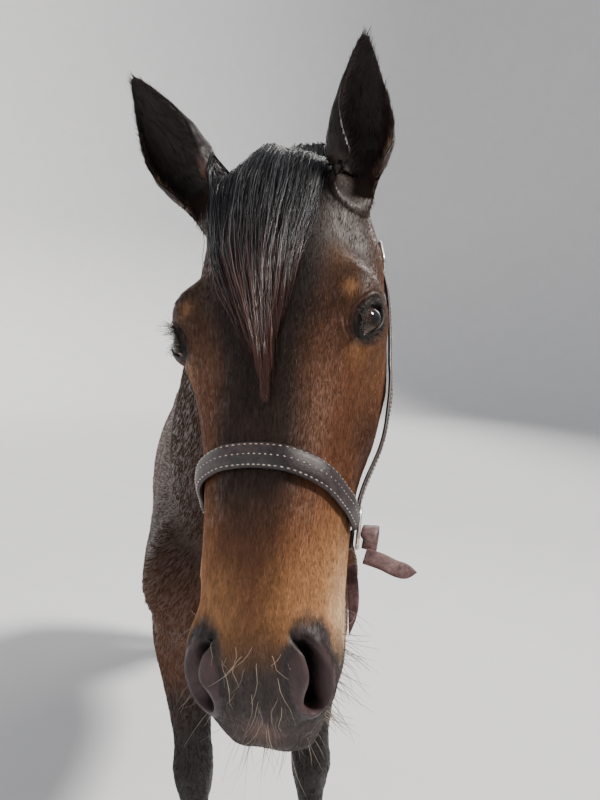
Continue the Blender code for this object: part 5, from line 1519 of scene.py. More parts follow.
def scattered(surface, weight, count, draw):
    """Roots strewn over a surface by a weight for each triangle: places and smooth normals."""
    points, triangles = surface
    a, b, c = (points[triangles[:, i]] for i in range(3))
    face = np.cross(b - a, c - a)
    area = np.linalg.norm(face, axis=1)
    chance = np.cumsum(area * weight)
    picked = np.searchsorted(chance, draw.random(count) * chance[-1])
    first, second = draw.random((2, count))
    over = first + second > 1
    first, second = np.where(over, 1 - first, first), np.where(over, 1 - second, second)
    roots = a[picked] + (b - a)[picked] * first[:, None] + (c - a)[picked] * second[:, None]
    smooth = normals_of(points, triangles)
    corners = triangles[picked]
    blend = smooth[corners[:, 0]] * (1 - first - second)[:, None] + smooth[corners[:, 1]] * first[:, None]
    return roots, unit(blend + smooth[corners[:, 2]] * second[:, None])


def tuft_arrays(roots, normals, lie, lengths, widths, lift):
    """Thin closed blades, four triangles each: a flat base across the lie, a keel under it, and a tip
    that lies off the skin by a share of the length."""
    across = np.cross(normals, lie)
    base = roots - normals * (widths * 0.35)[:, None]
    left = base + across * (widths / 2)[:, None]
    right = base - across * (widths / 2)[:, None]
    keel = base + normals * (widths * 0.6)[:, None] + lie * (lengths * 0.25)[:, None]
    tip = roots + lie * lengths[:, None] + normals * (lengths * lift)[:, None]
    points = np.stack([left, right, keel, tip], axis=1).reshape(-1, 3)
    first = np.arange(len(roots))[:, None] * 4
    pattern = np.array(((0, 2, 3), (2, 1, 3), (0, 3, 1), (0, 1, 2)))
    return points, (first[:, None] + pattern).reshape(-1, 3)


def give_layout(piece, roots, corners):
    """The map OFBake: each tuft or strand is a small patch at its root's place on the skin's flat layout.
    The corners are those of its triangles, in shares of the patch."""
    uv = unwrap(roots)[:, None, None] + BAKE_PATCH * np.array(corners)[None]
    layer = piece.data.uv_layers.new(name="OFBake")
    layer.data.foreach_set("uv", np.ascontiguousarray(uv.reshape(-1, 2), dtype=np.float32).ravel())


BAKE_PATCH = 0.003
TUFT_CORNERS = (
    ((0, 0), (0.5, 0.4), (0.5, 1)),
    ((0.5, 0.4), (1, 0), (0.5, 1)),
    ((0, 0), (0.5, 1), (1, 0)),
    ((0, 0), (1, 0), (0.5, 0.4)),
)
# Where a tuft's four points lie in the streaks of its hair
TUFT_COMB = ((0, 0, 0), (0.002, 0, 0), (0.001, 0, 0), (0.001, 0, 0.01))


def bare_share(points):
    """1 where hair may grow, falling to 0 on eye rims, in nostrils and under them."""
    share = np.ones(len(points))
    share *= smoothstep(lid_distance(points), 0.0010, 0.0030)
    for way in SIDES.values():
        spot = nostril_frame(way)
        u, v, h = spot.measures(points)
        ring = (u / NOSTRIL_HALF_LENGTH) ** 2 + (v / NOSTRIL_HALF_WIDTH) ** 2
        share *= 1 - smoothstep(ring, 1.5, 1.1) * smoothstep(h, 0.003, -0.003) * (h > -0.09)
    return share


def make_coat(name, surface, weight, count, sizes, material, seed, tilt):
    """A piece of coat: blades along the lie of the hair. `sizes` gives lengths and widths at points."""
    draw = np.random.default_rng(seed)
    roots, normals = scattered(surface, weight, count, draw)
    keep = bare_share(roots) > draw.random(len(roots))
    roots, normals = roots[keep], normals[keep]
    lie = hair_lie(roots, normals)
    swirl = 0.22 * value_noise(roots, 0.035, seed) + draw.normal(0, 0.13, len(roots))
    lie = unit(lie * np.cos(swirl)[:, None] + np.cross(normals, lie) * np.sin(swirl)[:, None])
    lengths, widths = sizes(roots)
    lengths = lengths * draw.uniform(0.7, 1.2, len(roots))
    widths = widths * draw.uniform(0.7, 1.2, len(roots))
    lift = draw.uniform(0.05, 0.14, len(roots))
    points, triangles = tuft_arrays(roots, normals, lie, lengths, widths, lift)
    piece = new_piece(name, (points, triangles), material)
    across = np.cross(normals, lie)
    lean = normals + draw.normal(0, tilt, (len(roots), 1)) * across
    lean = lean + draw.normal(0, tilt, (len(roots), 1)) * lie
    shading = np.stack([lean + 0.35 * across, lean - 0.35 * across, lean, lean + 0.2 * lie], axis=1)
    piece.data.normals_split_custom_set_from_vertices(unit(shading.reshape(-1, 3)))
    colour = coat_colour(roots, normals) * draw.uniform(0.72, 1.32, len(roots))[:, None]
    ends = np.array((0.8, 0.8, 1.0, 1.25))
    give_colours(piece, np.clip((colour[:, None] * ends[None, :, None]).reshape(-1, 3), 0.001, 1))
    give_vectors(piece, "Comb", comb_places(roots).repeat(4, axis=0) + np.tile(TUFT_COMB, (len(roots), 1)))
    give_layout(piece, roots, TUFT_CORNERS)


def strand_arrays(paths, outward, widths):
    """Closed three-sided strands along paths (strands by stations by 3). Widths are one for each station."""
    count, stations = paths.shape[:2]
    ahead = unit(np.gradient(paths, axis=1))
    side = unit(np.cross(ahead, outward))
    out = np.cross(side, ahead)
    half = (widths / 2)[..., None]
    rings = np.stack([paths + side * half, paths + out * half * 0.9, paths - side * half], axis=2)
    points = rings.reshape(-1, 3)
    pattern = []
    for k in range(stations - 1):
        for i in range(3):
            j = (i + 1) % 3
            a, b, c, d = 3 * k + i, 3 * k + j, 3 * k + 3 + j, 3 * k + 3 + i
            pattern += [(a, c, b), (a, d, c)]
    last = 3 * (stations - 1)
    pattern += [(0, 1, 2), (last, last + 2, last + 1)]
    pattern = np.array(pattern)
    triangles = (np.arange(count)[:, None, None] * 3 * stations + pattern).reshape(-1, 3)
    return points, triangles


def make_strands(name, paths, outward, widths, colours, material):
    """A piece of long hair. Colours are one for each strand and station."""
    count, stations = paths.shape[:2]
    points, triangles = strand_arrays(paths, outward, widths)
    piece = new_piece(name, (points, triangles), material)
    give_colours(piece, np.clip(colours.repeat(3, axis=1).reshape(-1, 3), 0.001, 1))
    length = np.cumsum(np.linalg.norm(np.diff(paths, axis=1, prepend=paths[:, :1]), axis=2), axis=1)
    comb = np.zeros((count, stations, 3, 3))
    comb[..., 0] = np.arange(count)[:, None, None] * 0.011
    comb[..., 1] = np.array((0, 0.0006, 0.0012))
    comb[..., 2] = length[..., None]
    give_vectors(piece, "Comb", comb.reshape(-1, 3))
    level = np.broadcast_to((np.arange(stations) / stations)[:, None], (stations, 3))
    corner = np.stack([np.broadcast_to((0.0, 0.5, 1.0), (stations, 3)), level], axis=2).reshape(-1, 2)
    roots = points.reshape(count, stations, 3, 3)[:, 0, 0]
    give_layout(piece, roots, corner[triangles[: len(triangles) // count]])


HOOF_GROUND_RADII = (0.073, 0.08)
HOOF_TOP_RADII = (0.057, 0.06)
HOOF_LEAN = 0.022
# The tail's hair, from the root: back, up, half depth, half width
TAIL = (
    (0.86, 1.545, 0.04, 0.04),
    (0.95, 1.515, 0.05, 0.05),
    (1.02, 1.43, 0.052, 0.058),
    (1.06, 1.30, 0.055, 0.068),
    (1.075, 1.10, 0.06, 0.08),
    (1.07, 0.85, 0.06, 0.082),
    (1.065, 0.60, 0.05, 0.07),
    (1.06, 0.42, 0.03, 0.045),
    (1.06, 0.33, 0.012, 0.02),
)
# Straps and rings of the halter, in the head's measures
NOSEBAND = (0.026, 0.007)
NOSEBAND_PADDING = 0.12
STRAP = (0.022, 0.005)
STRAP_CLEARANCE = 0.0045
RING_WIRE = 0.0022
RING_SIZE = (0.034, 0.038)
RING_SQUARE = 5.0
STITCH_PITCH = 0.0055
# Distance between a strap's sections along its line
STRAP_SPACING = 0.003
RINGS = {
    "ring_left": (0.080, 0.452, -0.112),
    "ring_right": (-0.080, 0.437, -0.112),
    "upper_ring_left": (0.103, 0.088, -0.110),
    "upper_ring_right": (-0.103, 0.088, -0.110),
    "chin_ring": (0.0, 0.462, -0.185),
}
NOSEBAND_ROUTE = (
    (0.080, 0.448, -0.094), (0.077, 0.437, -0.055), (0.055, 0.421, -0.008), (0.0, 0.410, 0.006),
    (-0.055, 0.413, -0.008), (-0.077, 0.422, -0.05), (-0.080, 0.433, -0.094),
)
CROWN_ROUTE = (
    (0.104, 0.07, -0.108), (0.10, 0.02, -0.083), (0.075, -0.02, -0.045), (0.035, -0.035, -0.012),
    (0.0, -0.038, -0.005),
    (-0.035, -0.035, -0.012), (-0.075, -0.02, -0.045), (-0.10, 0.02, -0.083), (-0.104, 0.07, -0.108),
)
THROAT_ROUTE = (
    (0.104, 0.098, -0.128), (0.105, 0.085, -0.165), (0.098, 0.075, -0.22), (0.075, 0.085, -0.275),
    (0.04, 0.11, -0.31), (0.0, 0.125, -0.32),
    (-0.04, 0.11, -0.31), (-0.075, 0.085, -0.275), (-0.098, 0.075, -0.22), (-0.105, 0.085, -0.165),
    (-0.104, 0.098, -0.128),
)
CENTER_ROUTE = ((0.0, 0.15, -0.305), (0.0, 0.25, -0.28), (0.0, 0.35, -0.235), (0.0, 0.444, -0.19))
CHEEK_ROUTE = (
    (0.080, 0.430, -0.118), (0.095, 0.36, -0.128), (0.108, 0.28, -0.132), (0.112, 0.19, -0.136),
    (0.105, 0.107, -0.116),
)
CHIN_ROUTE = ((0.074, 0.458, -0.134), (0.062, 0.46, -0.160), (0.04, 0.462, -0.180), (0.016, 0.462, -0.187))
CHEEK_SLACK = 0.005
# Loose leather below the left cheek ring: middle line, the way its width runs, width, thickness, and the
# share of its length that draws in
LOOSE_LEATHER = {
    "keeper": (
        ((0.082, 0.462, -0.168), (0.086, 0.446, -0.163), (0.088, 0.440, -0.153), (0.087, 0.447, -0.144),
         (0.084, 0.460, -0.142)),
        (1.0, 0.0, -0.35), 0.018, 0.0042, 0.15,
    ),
    "tab": (
        ((0.078, 0.470, -0.162), (0.096, 0.476, -0.166), (0.114, 0.484, -0.171), (0.134, 0.487, -0.176)),
        (-0.05, 1.0, 0.1), 0.019, 0.0038, 0.35,
    ),
    "strap_end": (
        ((0.060, 0.478, -0.168), (0.062, 0.500, -0.174), (0.061, 0.525, -0.181), (0.055, 0.552, -0.187)),
        (1.0, 0.0, -0.2), 0.013, 0.0036, 0.75,
    ),
}

made = {}


def skin_surface():
    """The skin, worked out once for all the pieces that lie on it."""
    if "skin" not in made:
        made["skin"] = make_skin_surface()
        made["tree"] = surface_tree(made["skin"])
    return made["skin"]


def skin_tree():
    """The search tree of the skin."""
    skin_surface()
    return made["tree"]


def height_map(to_points, first, second, ways, clearance):
    """A grid of places on the skin, found by lines along one way, and a function that reads it smoothly.
    `to_points` turns the two measures into places on the line's inner end."""
    grid = np.stack(np.meshgrid(first, second, indexing="ij"), axis=-1)
    starts = to_points(grid.reshape(-1, 2)) + np.asarray(ways) * clearance
    tree, back = skin_tree(), Vector(-np.asarray(ways))
    hits = np.full(len(starts), np.nan)
    for k, start in enumerate(starts):
        distance = tree.ray_cast(Vector(start), back)[3]
        if distance is not None:
            hits[k] = clearance - distance
    heights = hits.reshape(grid.shape[:2])

    def read(a, b):
        i = np.clip((a - first[0]) / (first[1] - first[0]), 0, len(first) - 1.001)
        j = np.clip((b - second[0]) / (second[1] - second[0]), 0, len(second) - 1.001)
        i0, j0 = i.astype(int), j.astype(int)
        u, v = i - i0, j - j0
        return (
            heights[i0, j0] * (1 - u) * (1 - v) + heights[i0 + 1, j0] * u * (1 - v)
            + heights[i0, j0 + 1] * (1 - u) * v + heights[i0 + 1, j0 + 1] * u * v
        )

    return read


def make_skin():
    """The skin: lofts of superellipse sections joined into one surface, with finer forms raised by bell
    curves along its normals, and with lids, nostrils and ears grafted in as rings."""
    surface = skin_surface()
    points, triangles = surface
    piece = new_piece("skin", surface, coat_material("Skin and short hair", 0.46, 0.14, 0.35, 0.24))
    give_colours(piece, coat_colour(points, normals_of(points, triangles)))
    give_vectors(piece, "Comb", comb_places(points))
    nodes = ["torso", "neck", "head", "tail"]
    nodes += [f"{part}_{side}" for part in ("ear", "foreleg", "hindleg") for side in SIDES]
    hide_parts(*nodes)


def face_sizes(points):
    """Lengths and widths of the face's hair: shortest on the nose and round the eyes."""
    along = head_places(points)[:, 1]
    length = 0.0085 - 0.0040 * smoothstep(along, 0.40, 0.62)
    length = length - 0.004 * smoothstep(lid_distance(points), 0.03, 0.004)
    on_ear = ear_share(points)
    return length * (1 + 0.3 * on_ear), np.full(len(points), 0.0012) * (1 - 0.25 * on_ear)


def body_sizes(points):
    """Lengths and widths of the body's hair: longest on the trunk and hindquarters and shortest low on the
    legs.
    """
    length = 0.024 - 0.010 * smoothstep(points[:, 2], 0.9, 0.5)
    front = smoothstep(points[:, 1], -0.2, -0.5)
    width = 0.0044 - 0.0014 * smoothstep(points[:, 2], 0.9, 0.5) - 0.0010 * front
    return length * (1.1 - 0.2 * front), width


def ear_share(points):
    """1 on the ears, falling to 0 round their feet."""
    share = np.zeros(len(points))
    for name in SIDES:
        a, b, h = ear_frame(name)[0].measures(points)
        share = np.maximum(share, smoothstep(np.hypot(a, b), 0.065, 0.05) * smoothstep(h, 0.015, 0.04))
    return share


# Tufts of each piece of coat, and how far their shading normals lean at random
HEAD_TUFTS = 46000
NECK_TUFTS = 34000
BODY_TUFTS = 23000
HEAD_TILT = 0.15
BODY_TILT = 0.02
# Where the head's coat is divided, as distances from the poll
HEAD_PARTS = ((-0.3, 0.23), (0.23, 0.47), (0.47, 0.80))


def make_coats():
    """The short coat in pieces: blades whose roots are strewn over the skin by its area, and that run
    from the root along the lie of the hair and a small share of their length off the skin."""
    surface = skin_surface()
    points, triangles = surface
    middle = points[triangles].mean(axis=1)
    head = np.maximum(head_weight(middle), ear_share(middle))
    along = head_places(middle)[:, 1]
    material = coat_material("Short coat", 0.50, 0.12, 0.2, 0.17)
    body_material = coat_material("Body coat", 0.60, 0.10, 0.06, 0.06)
    for k, (low, high) in enumerate(HEAD_PARTS):
        part = ((head > 0.3) & (along >= low) & (along < high)).astype(float)
        name = f"coat_head_{k + 1}"
        make_coat(name, surface, part, HEAD_TUFTS, face_sizes, material, 20 + k, HEAD_TILT)
    front = smoothstep(middle[:, 1], -0.1, -0.5)
    parts = {
        "coat_neck_and_breast": (head <= 0.7) & (middle[:, 1] < -0.42) & (middle[:, 2] > 0.75),
        "coat_trunk": (middle[:, 1] >= -0.42) & (middle[:, 1] < 0.45) & (middle[:, 2] > 0.75),
        "coat_haunches": (middle[:, 1] >= 0.45) & (middle[:, 2] > 0.75),
        "coat_legs": middle[:, 2] <= 0.75,
    }
    for k, (name, part) in enumerate(parts.items()):
        count = NECK_TUFTS if "neck" in name else BODY_TUFTS
        make_coat(name, surface, part * (1 + front), count, body_sizes, body_material, 40 + k, BODY_TILT)


def clumped(values, count, pull, draw):
    """Values drawn towards the middles of a number of clumps."""
    middles = np.linspace(values.min(), values.max(), count)
    middles = middles + draw.normal(0, 0.25 / count, count) * np.ptp(values)
    nearest = middles[np.abs(values[:, None] - middles[None]).argmin(axis=1)]
    return values + (nearest - values) * pull


# Shares of the way along a strand of mane and tail
STATIONS = np.linspace(0, 1, 9)
FORELOCK_STRANDS = 4300
MANE_STRANDS = 3200
TAIL_STRANDS = 2400
FEATHER_STRANDS = 620
FORELOCK_DARK = np.array((0.008, 0.0078, 0.0095))
FORELOCK_TIP = np.array((0.060, 0.022, 0.016))
MANE_COLOUR = np.array((0.012, 0.010, 0.011))
TAIL_COLOUR = np.array((0.011, 0.009, 0.010))
FEATHER_COLOUR = np.array((0.012, 0.009, 0.008))
# The forelock seen from the front, from its roots behind the poll to its tip: distance along the face,
# its middle and its half width
FORELOCK_SHAPE = (
    (-0.085, -0.003, 0.056), (0.0, -0.008, 0.064), (0.085, -0.017, 0.070), (0.145, -0.013, 0.056),
    (0.22, -0.004, 0.033), (0.30, 0.004, 0.017), (0.36, 0.010, 0.006),
)


def make_forelock():
    """Long hair that rises at the poll, falls forward between the ears and runs together to a point on
    the forehead. Each strand keeps its share of the lock's width, and is drawn into a hank on its way."""
    draw = np.random.default_rng(5)
    count = FORELOCK_STRANDS
    read = height_map(
        lambda g: at_head(np.stack([g[:, 0], g[:, 1], np.full(len(g), -0.08)], axis=1)),
        np.linspace(-0.1, 0.1, 41), np.linspace(-0.11, 0.46, 116), head_directions((0, 0, 1)), 0.25,
    )
    shape = np.array(FORELOCK_SHAPE)
    middle, half = (np.polyfit(shape[:, 0], shape[:, i], 4) for i in (1, 2))
    spread = np.clip(draw.uniform(-1, 1, count) + draw.normal(0, 0.08, count), -1.12, 1.12)
    layer = draw.random(count)
    loose = draw.random(count) < 0.08
    hank = clumped(spread, 26, 0.8, draw)
    root = -0.080 + 0.075 * (1 - layer) ** 1.5 + 0.012 * np.abs(spread)
    end = (0.36 - 0.10 * np.abs(spread) ** 1.5) * draw.uniform(0.35, 1.0, count) ** 0.55
    t = np.linspace(0, 1, 12)[None] ** 1.2
    u = root[:, None] + (end - root)[:, None] * t
    within = spread[:, None] + (hank - spread)[:, None] * smoothstep(u, 0.0, 0.16)
    within = within + draw.normal(0, 1, (count, 1)) * np.where(loose, 0.22, 0.03)[:, None] * t
    v = np.polyval(middle, u) + within * np.polyval(half, u)
    v = v + 0.0028 * np.sin(t * 9 + hank[:, None] * 23) * t + draw.normal(0, 0.0010, v.shape) * (t > 0.05)
    height = read(v, u)
    height = np.minimum(np.where(np.isnan(height), 0.05, height) - 0.08, 0.020)
    loft = (0.022 * layer * (1 - 0.4 * spread**2))[:, None]
    lift = 0.003 + loft * smoothstep(t, 0.0, 0.16) * (1 - 0.72 * t)
    lift = lift + np.where(loose, 0.007, 0.0)[:, None] * np.sin(math.pi * t)
    lift = lift + draw.normal(0, 0.0007, v.shape)
    lift[:, 0] = -0.010
    paths = at_head(np.stack([v, u, height + lift], axis=2))
    outward = unit(head_directions((0, 0, 1)) + draw.normal(0, 0.35, (count, 1, 3)) + np.zeros(paths.shape))
    widths = 0.0013 * draw.uniform(0.5, 1.4, count)[:, None] * (1 - 0.8 * t**2)
    share = smoothstep(u, 0.10, 0.34)[..., None]
    # Painted highlights: about a fifth of the strands are made three to nine times lighter near the top of
    # the lock, less towards the tips and not at the roots; the rest vary at random in tone
    strand_tone_and_glint = np.where(draw.random(count) < 0.22, draw.uniform(3.0, 9.0, count), draw.uniform(0.5, 1.6, count))
    tone_and_painted_glint = 1 + (strand_tone_and_glint - 1)[:, None, None] * (1 - 0.75 * share) * smoothstep(u, -0.03, 0.03)[..., None]
    colours = FORELOCK_DARK * (1 - share) + FORELOCK_TIP * share * draw.uniform(0.5, 1.7, (count, 1, 1))
    colours = colours * tone_and_painted_glint
    material = strand_material("Forelock hair", 0.30)
    for k in range(2):
        part = slice(k, None, 2)
        make_strands(f"forelock_{k + 1}", paths[part], outward[part], widths[part], colours[part], material)


def crest_points(share):
    """Points of the crest at shares of the way from the poll to the withers."""
    rows = np.array([row[:3] for row in NECK[::-1][:-1]])
    place = share * (len(rows) - 1)
    return np.stack([np.interp(place, range(len(rows)), rows[:, i]) for i in range(3)], axis=-1)


def make_mane():
    """Long hair that rises from the crest, turns over to the horse's left and hangs down the neck."""
    draw = np.random.default_rng(6)
    count = MANE_STRANDS
    share = draw.uniform(0.13, 1.0, count)
    group = clumped(share, 34, 0.8, draw)
    crest = crest_points(share)
    read = height_map(
        lambda g: np.stack([np.zeros(len(g)), g[:, 0], g[:, 1]], axis=1),
        np.linspace(-1.35, -0.2, 70), np.linspace(1.1, 2.05, 60), (1.0, 0.0, 0.0), 0.6,
    )
    offset = draw.uniform(-0.014, 0.014, count)
    length = 0.31 * draw.uniform(0.7, 1.08, count) * (0.75 + 0.45 * np.sin(math.pi * share))
    length = length * (1 + 0.12 * np.sin(group * 60))
    t = STATIONS[None]
    y = crest[:, 1:2] + (crest_points(group)[:, 1] - crest[:, 1])[:, None] * 0.8 * t
    y = y + 0.02 * np.sin(5 * t + group[:, None] * 40) * t + 0.05 * t
    z = crest[:, 2:3] - 0.012 + 0.022 * np.sin(np.clip(t * 8, 0, math.pi))
    z = z - length[:, None] * np.maximum(0, t - 0.06)
    skin = read(y, z)
    hang = crest[:, 0:1] + 0.03 + 0.10 * np.minimum(1, t * 3)
    skin = np.where(np.isnan(skin), hang * 0.6, skin)
    skin = np.maximum.accumulate(np.where(t < 0.1, crest[:, 0:1] + offset[:, None], skin), axis=1)
    layer = draw.random(count)[:, None]
    lift = (0.004 + 0.020 * layer) * np.minimum(1, t * 8) + 0.004 * np.sin(9 * t + group[:, None] * 50) * t
    x = skin + lift
    x[:, 0] = crest[:, 0] + offset
    x[:, 1] = crest[:, 0] + offset + 0.012 + 0.02 * layer[:, 0]
    paths = np.stack([x, y, z], axis=2)
    outward = np.broadcast_to((0.9, 0.0, 0.4), paths.shape)
    widths = 0.0034 * draw.uniform(0.6, 1.2, count)[:, None] * (1 - 0.8 * t**2)
    colours = MANE_COLOUR * draw.uniform(0.6, 1.7, (count, 1, 1)) * (1 + 0.5 * t[..., None])
    make_strands("mane", paths, outward, widths, colours, strand_material("Mane hair", 0.36))


def make_tail():
    """Long hair that leaves the dock all round and hangs in loose hanks."""
    draw = np.random.default_rng(8)
    count = TAIL_STRANDS
    table = np.array(TAIL)[::-1]
    angle = draw.uniform(0, 2 * math.pi, count)
    reach = np.sqrt(draw.uniform(0.05, 1, count))
    top = np.where(reach > 0.7, draw.uniform(1.22, 1.50, count), draw.uniform(1.1, 1.4, count))
    bottom = 0.335 * draw.uniform(1.0, 1.9, count) + 0.05 * np.sin(angle * 4)
    hank = clumped(angle, 17, 0.75, draw)
    t = STATIONS[None]
    z = top[:, None] + (bottom - top)[:, None] * t
    y0, depth, half = (np.interp(z, table[:, 1], table[:, i]) for i in (0, 2, 3))
    turn = angle[:, None] + (hank - angle)[:, None] * t + 0.2 * t
    out = reach[:, None] * np.where(t == 0, 0.3, 1) * (1 - 0.2 * t)
    sway = 0.010 * np.sin(4 * t + hank[:, None] * 3) * t
    paths = np.stack([half * out * np.sin(turn) + sway, y0 + depth * out * np.cos(turn) + sway, z], axis=2)
    outward = np.stack([np.sin(turn), np.cos(turn), 0 * turn + 0.05], axis=2)
    widths = 0.0042 * draw.uniform(0.6, 1.2, count)[:, None] * (1 - 0.8 * t**2)
    colours = TAIL_COLOUR * draw.uniform(0.6, 1.7, (count, 1, 1)) * (1 + 0.4 * t[..., None])
    make_strands("tail_hair", paths, outward, widths, colours, strand_material("Tail hair", 0.38))


def make_feathers():
    """The long hair of the fetlocks, from the back of the cannon down over the heel."""
    draw = np.random.default_rng(9)
    count = FEATHER_STRANDS
    t = STATIONS[None, ::2]
    paths, outward = [], []
    for way in SIDES.values():
        for table, line in ((FORELEG, FORELEG_X), (HINDLEG, HINDLEG_X)):
            table = np.array(table)[::-1]
            turn = draw.triangular(-2.2, 0, 2.2, count)
            top = 0.29 - 0.12 * np.abs(turn) / math.pi + draw.uniform(-0.05, 0.03, count)
            bottom = 0.032 + 0.03 * np.abs(turn) / 2 + draw.uniform(0, 0.035, count)
            z = top[:, None] + (bottom - top)[:, None] * t
            front, back, across, half = (np.interp(z, table[:, 0], table[:, i]) for i in range(1, 5))
            swing = clumped(turn, 13, 0.7, draw)[:, None] * t + turn[:, None] * (1 - t)
            reach = 0.006 + 0.03 * np.cos(turn / 1.5)[:, None] * draw.uniform(0.4, 1, (count, 1))
            lift = np.where(t == 0, -0.003, 0.004) + reach * t
            x = (line + across + (half + lift) * np.sin(swing)) * way
            y = (front + back) / 2 + ((back - front) / 2 + lift) * np.cos(swing) + 0.004 * t
            paths.append(np.stack([x, y, z], axis=2))
            outward.append(np.stack([np.sin(swing) * way, np.cos(swing), 0 * swing + 0.05], axis=2))
    paths, outward = np.concatenate(paths), np.concatenate(outward)
    widths = 0.0032 * draw.uniform(0.6, 1.2, len(paths))[:, None] * (1 - 0.8 * t**2)
    colours = FEATHER_COLOUR * draw.uniform(0.6, 1.8, (len(paths), 1, 1)) * (1 + 0.6 * t[..., None])
    make_strands("feathers", paths, outward, widths, colours, strand_material("Feather hair", 0.42))


def make_whiskers():
    """Stiff single hairs on lips and chin, the lashes, and the soft fringe of the ears."""
    draw = np.random.default_rng(12)
    tree = skin_tree()
    t = np.linspace(0, 1, 6)[None]
    paths, outward, widths, colours = [], [], [], []

    def grow(roots, ways, length, width, colour, droop, curl=0.0):
        count = len(roots)
        reach = (length * draw.uniform(0.5, 1.1, count))[:, None, None]
        bends = draw.normal(0, 0.25, count), draw.normal(0, 0.25, count), draw.normal(-droop, 0.2, count)
        bend = np.stack(bends, axis=1)
        way = ways[:, None] * t[..., None] + bend[:, None] * (t**2)[..., None]
        line = roots[:, None] - ways[:, None] * 0.002 + reach * way
        spin = draw.uniform(0, 6.3, (count, 1)) + 5.5 * t
        line = line + curl * t[..., None] * np.stack([np.sin(spin), 0 * spin, np.cos(spin)], axis=2)
        paths.append(line)
        outward.append(np.broadcast_to(unit(np.cross(ways, (0.3, 0.4, 0.87)))[:, None], line.shape))
        widths.append(width * (1 - 0.7 * t**2) * np.ones((count, 1)))
        colours.append(np.array(colour) * draw.uniform(0.6, 1.4, (count, 1, 1)) * np.ones((1, t.shape[1], 1)))

    def on_skin(places, toward):
        roots, normals = [], []
        for place, way in zip(places, toward):
            hit, normal, _, _ = tree.ray_cast(Vector(place + way * 0.2), Vector(-way))
            if hit:
                roots.append(tuple(hit))
                normals.append(tuple(normal))
        return np.array(roots), np.array(normals)

    turn = draw.uniform(-1.9, 1.9, 150)
    level = draw.uniform(-0.15, -0.075, 150)
    ways = head_directions(np.stack([np.sin(turn), np.cos(turn), 0 * turn], axis=1))
    roots, normals = on_skin(at_head(np.stack([0 * turn, np.full(150, 0.57), level], axis=1)), ways)
    keep = bare_share(roots) > 0.5
    roots, normals = roots[keep], normals[keep]
    ways = unit(normals + 0.35 * head_directions((0, 0.6, 0.2)))
    grow(roots, ways, 0.034, 0.00055, (0.20, 0.16, 0.13), 0.2)
    turn = draw.uniform(-1.1, 1.1, 40)
    ways = head_directions(np.stack([np.sin(turn), 0.55 * np.cos(turn), 0.85 * np.cos(turn)], axis=1))
    starts = at_head(np.stack([0 * turn, draw.uniform(0.54, 0.63, 40), np.full(40, -0.07)], axis=1))
    roots, normals = on_skin(starts, ways)
    keep = bare_share(roots) > 0.5
    roots, normals = roots[keep], normals[keep]
    ways = unit(0.30 * normals + head_directions((0, 1.0, 0.0)) + draw.normal(0, 0.3, normals.shape))
    grow(roots, ways, 0.030, 0.00036, (0.36, 0.29, 0.22), 0.1, 0.0035)
    turn = draw.uniform(-1.0, 1.0, 60)
    ways = head_directions(np.stack([np.sin(turn), 0.5 * np.cos(turn), -np.cos(turn)], axis=1))
    starts = at_head(np.stack([0 * turn, draw.uniform(0.5, 0.62, 60), np.full(60, -0.10)], axis=1))
    roots, normals = on_skin(starts, ways)
    grow(roots, unit(normals), 0.045, 0.0006, (0.10, 0.08, 0.07), 0.3)
    for side_name, side in SIDES.items():
        eye = eye_frame(side_name)
        up = upper(eye)
        angle = draw.uniform(0.35, 2.6, 110)
        x, y = eye_outline(angle)
        roots = eye.place(x, y * up, np.sqrt(np.maximum(LID_RADIUS**2 - x**2 - y**2, 1e-5)))
        lash = unit(0.75 * eye.axis + 0.55 * up * eye.second + np.outer(x / EYE_HALF_LENGTH * 0.3, eye.first))
        grow(roots, lash, 0.022, 0.0006, (0.10, 0.085, 0.07), 0.25)
        angle = draw.uniform(3.5, 5.9, 26)
        x, y = eye_outline(angle)
        roots = eye.place(x, y * up, np.sqrt(np.maximum(LID_RADIUS**2 - x**2 - y**2, 1e-5)))
        lash = np.tile(unit(0.8 * eye.axis - 0.6 * up * eye.second), (26, 1))
        grow(roots, lash, 0.008, 0.0005, (0.05, 0.04, 0.035), 0.1)
        spot, length, half = ear_frame(side_name)
        table = np.array(EAR_SECTIONS)
        for part in (-1, 1):
            count = 420
            share = draw.uniform(0.04, 0.97, count)
            wide, deep, reach = (np.interp(share, table[:, 0], table[:, i]) for i in (1, 2, 3))
            curl = np.radians(reach) * part * draw.uniform(0.45, 1.0, count) ** 0.5
            swing = np.sin(math.pi * share)
            bow = np.array((math.copysign(EAR_BOW, spot.centre[0] - POLL[0]), 0, 0))
            middle = spot.centre + spot.axis * (length * share)[:, None]
            middle = middle - spot.first * (half * 0.35 * swing)[:, None] + bow * swing[:, None]
            z, x = -deep * half * np.cos(curl) * 0.93, wide * half * np.sin(curl) * 0.93
            roots = middle + z[:, None] * spot.first + x[:, None] * spot.second
            inward = -part * spot.second * 0.35 + spot.first * 0.5 + spot.axis * 0.75
            pale = part * spot.second[0] * side > 0
            colour = np.array((0.060, 0.036, 0.024)) if pale else np.array((0.026, 0.015, 0.011))
            tuft = np.exp(-(((share - 0.27) / 0.06) ** 2)) * pale
            colour = colour + np.array((0.26, 0.15, 0.07)) * tuft[:, None]
            grow(roots, np.tile(unit(inward), (count, 1)), 0.012, 0.00055, colour[:, None], 0.0)
    everything = [np.concatenate(part) for part in (paths, outward, widths, colours)]
    make_strands("whiskers_and_lashes", *everything, strand_material("Fine hair", 0.45))


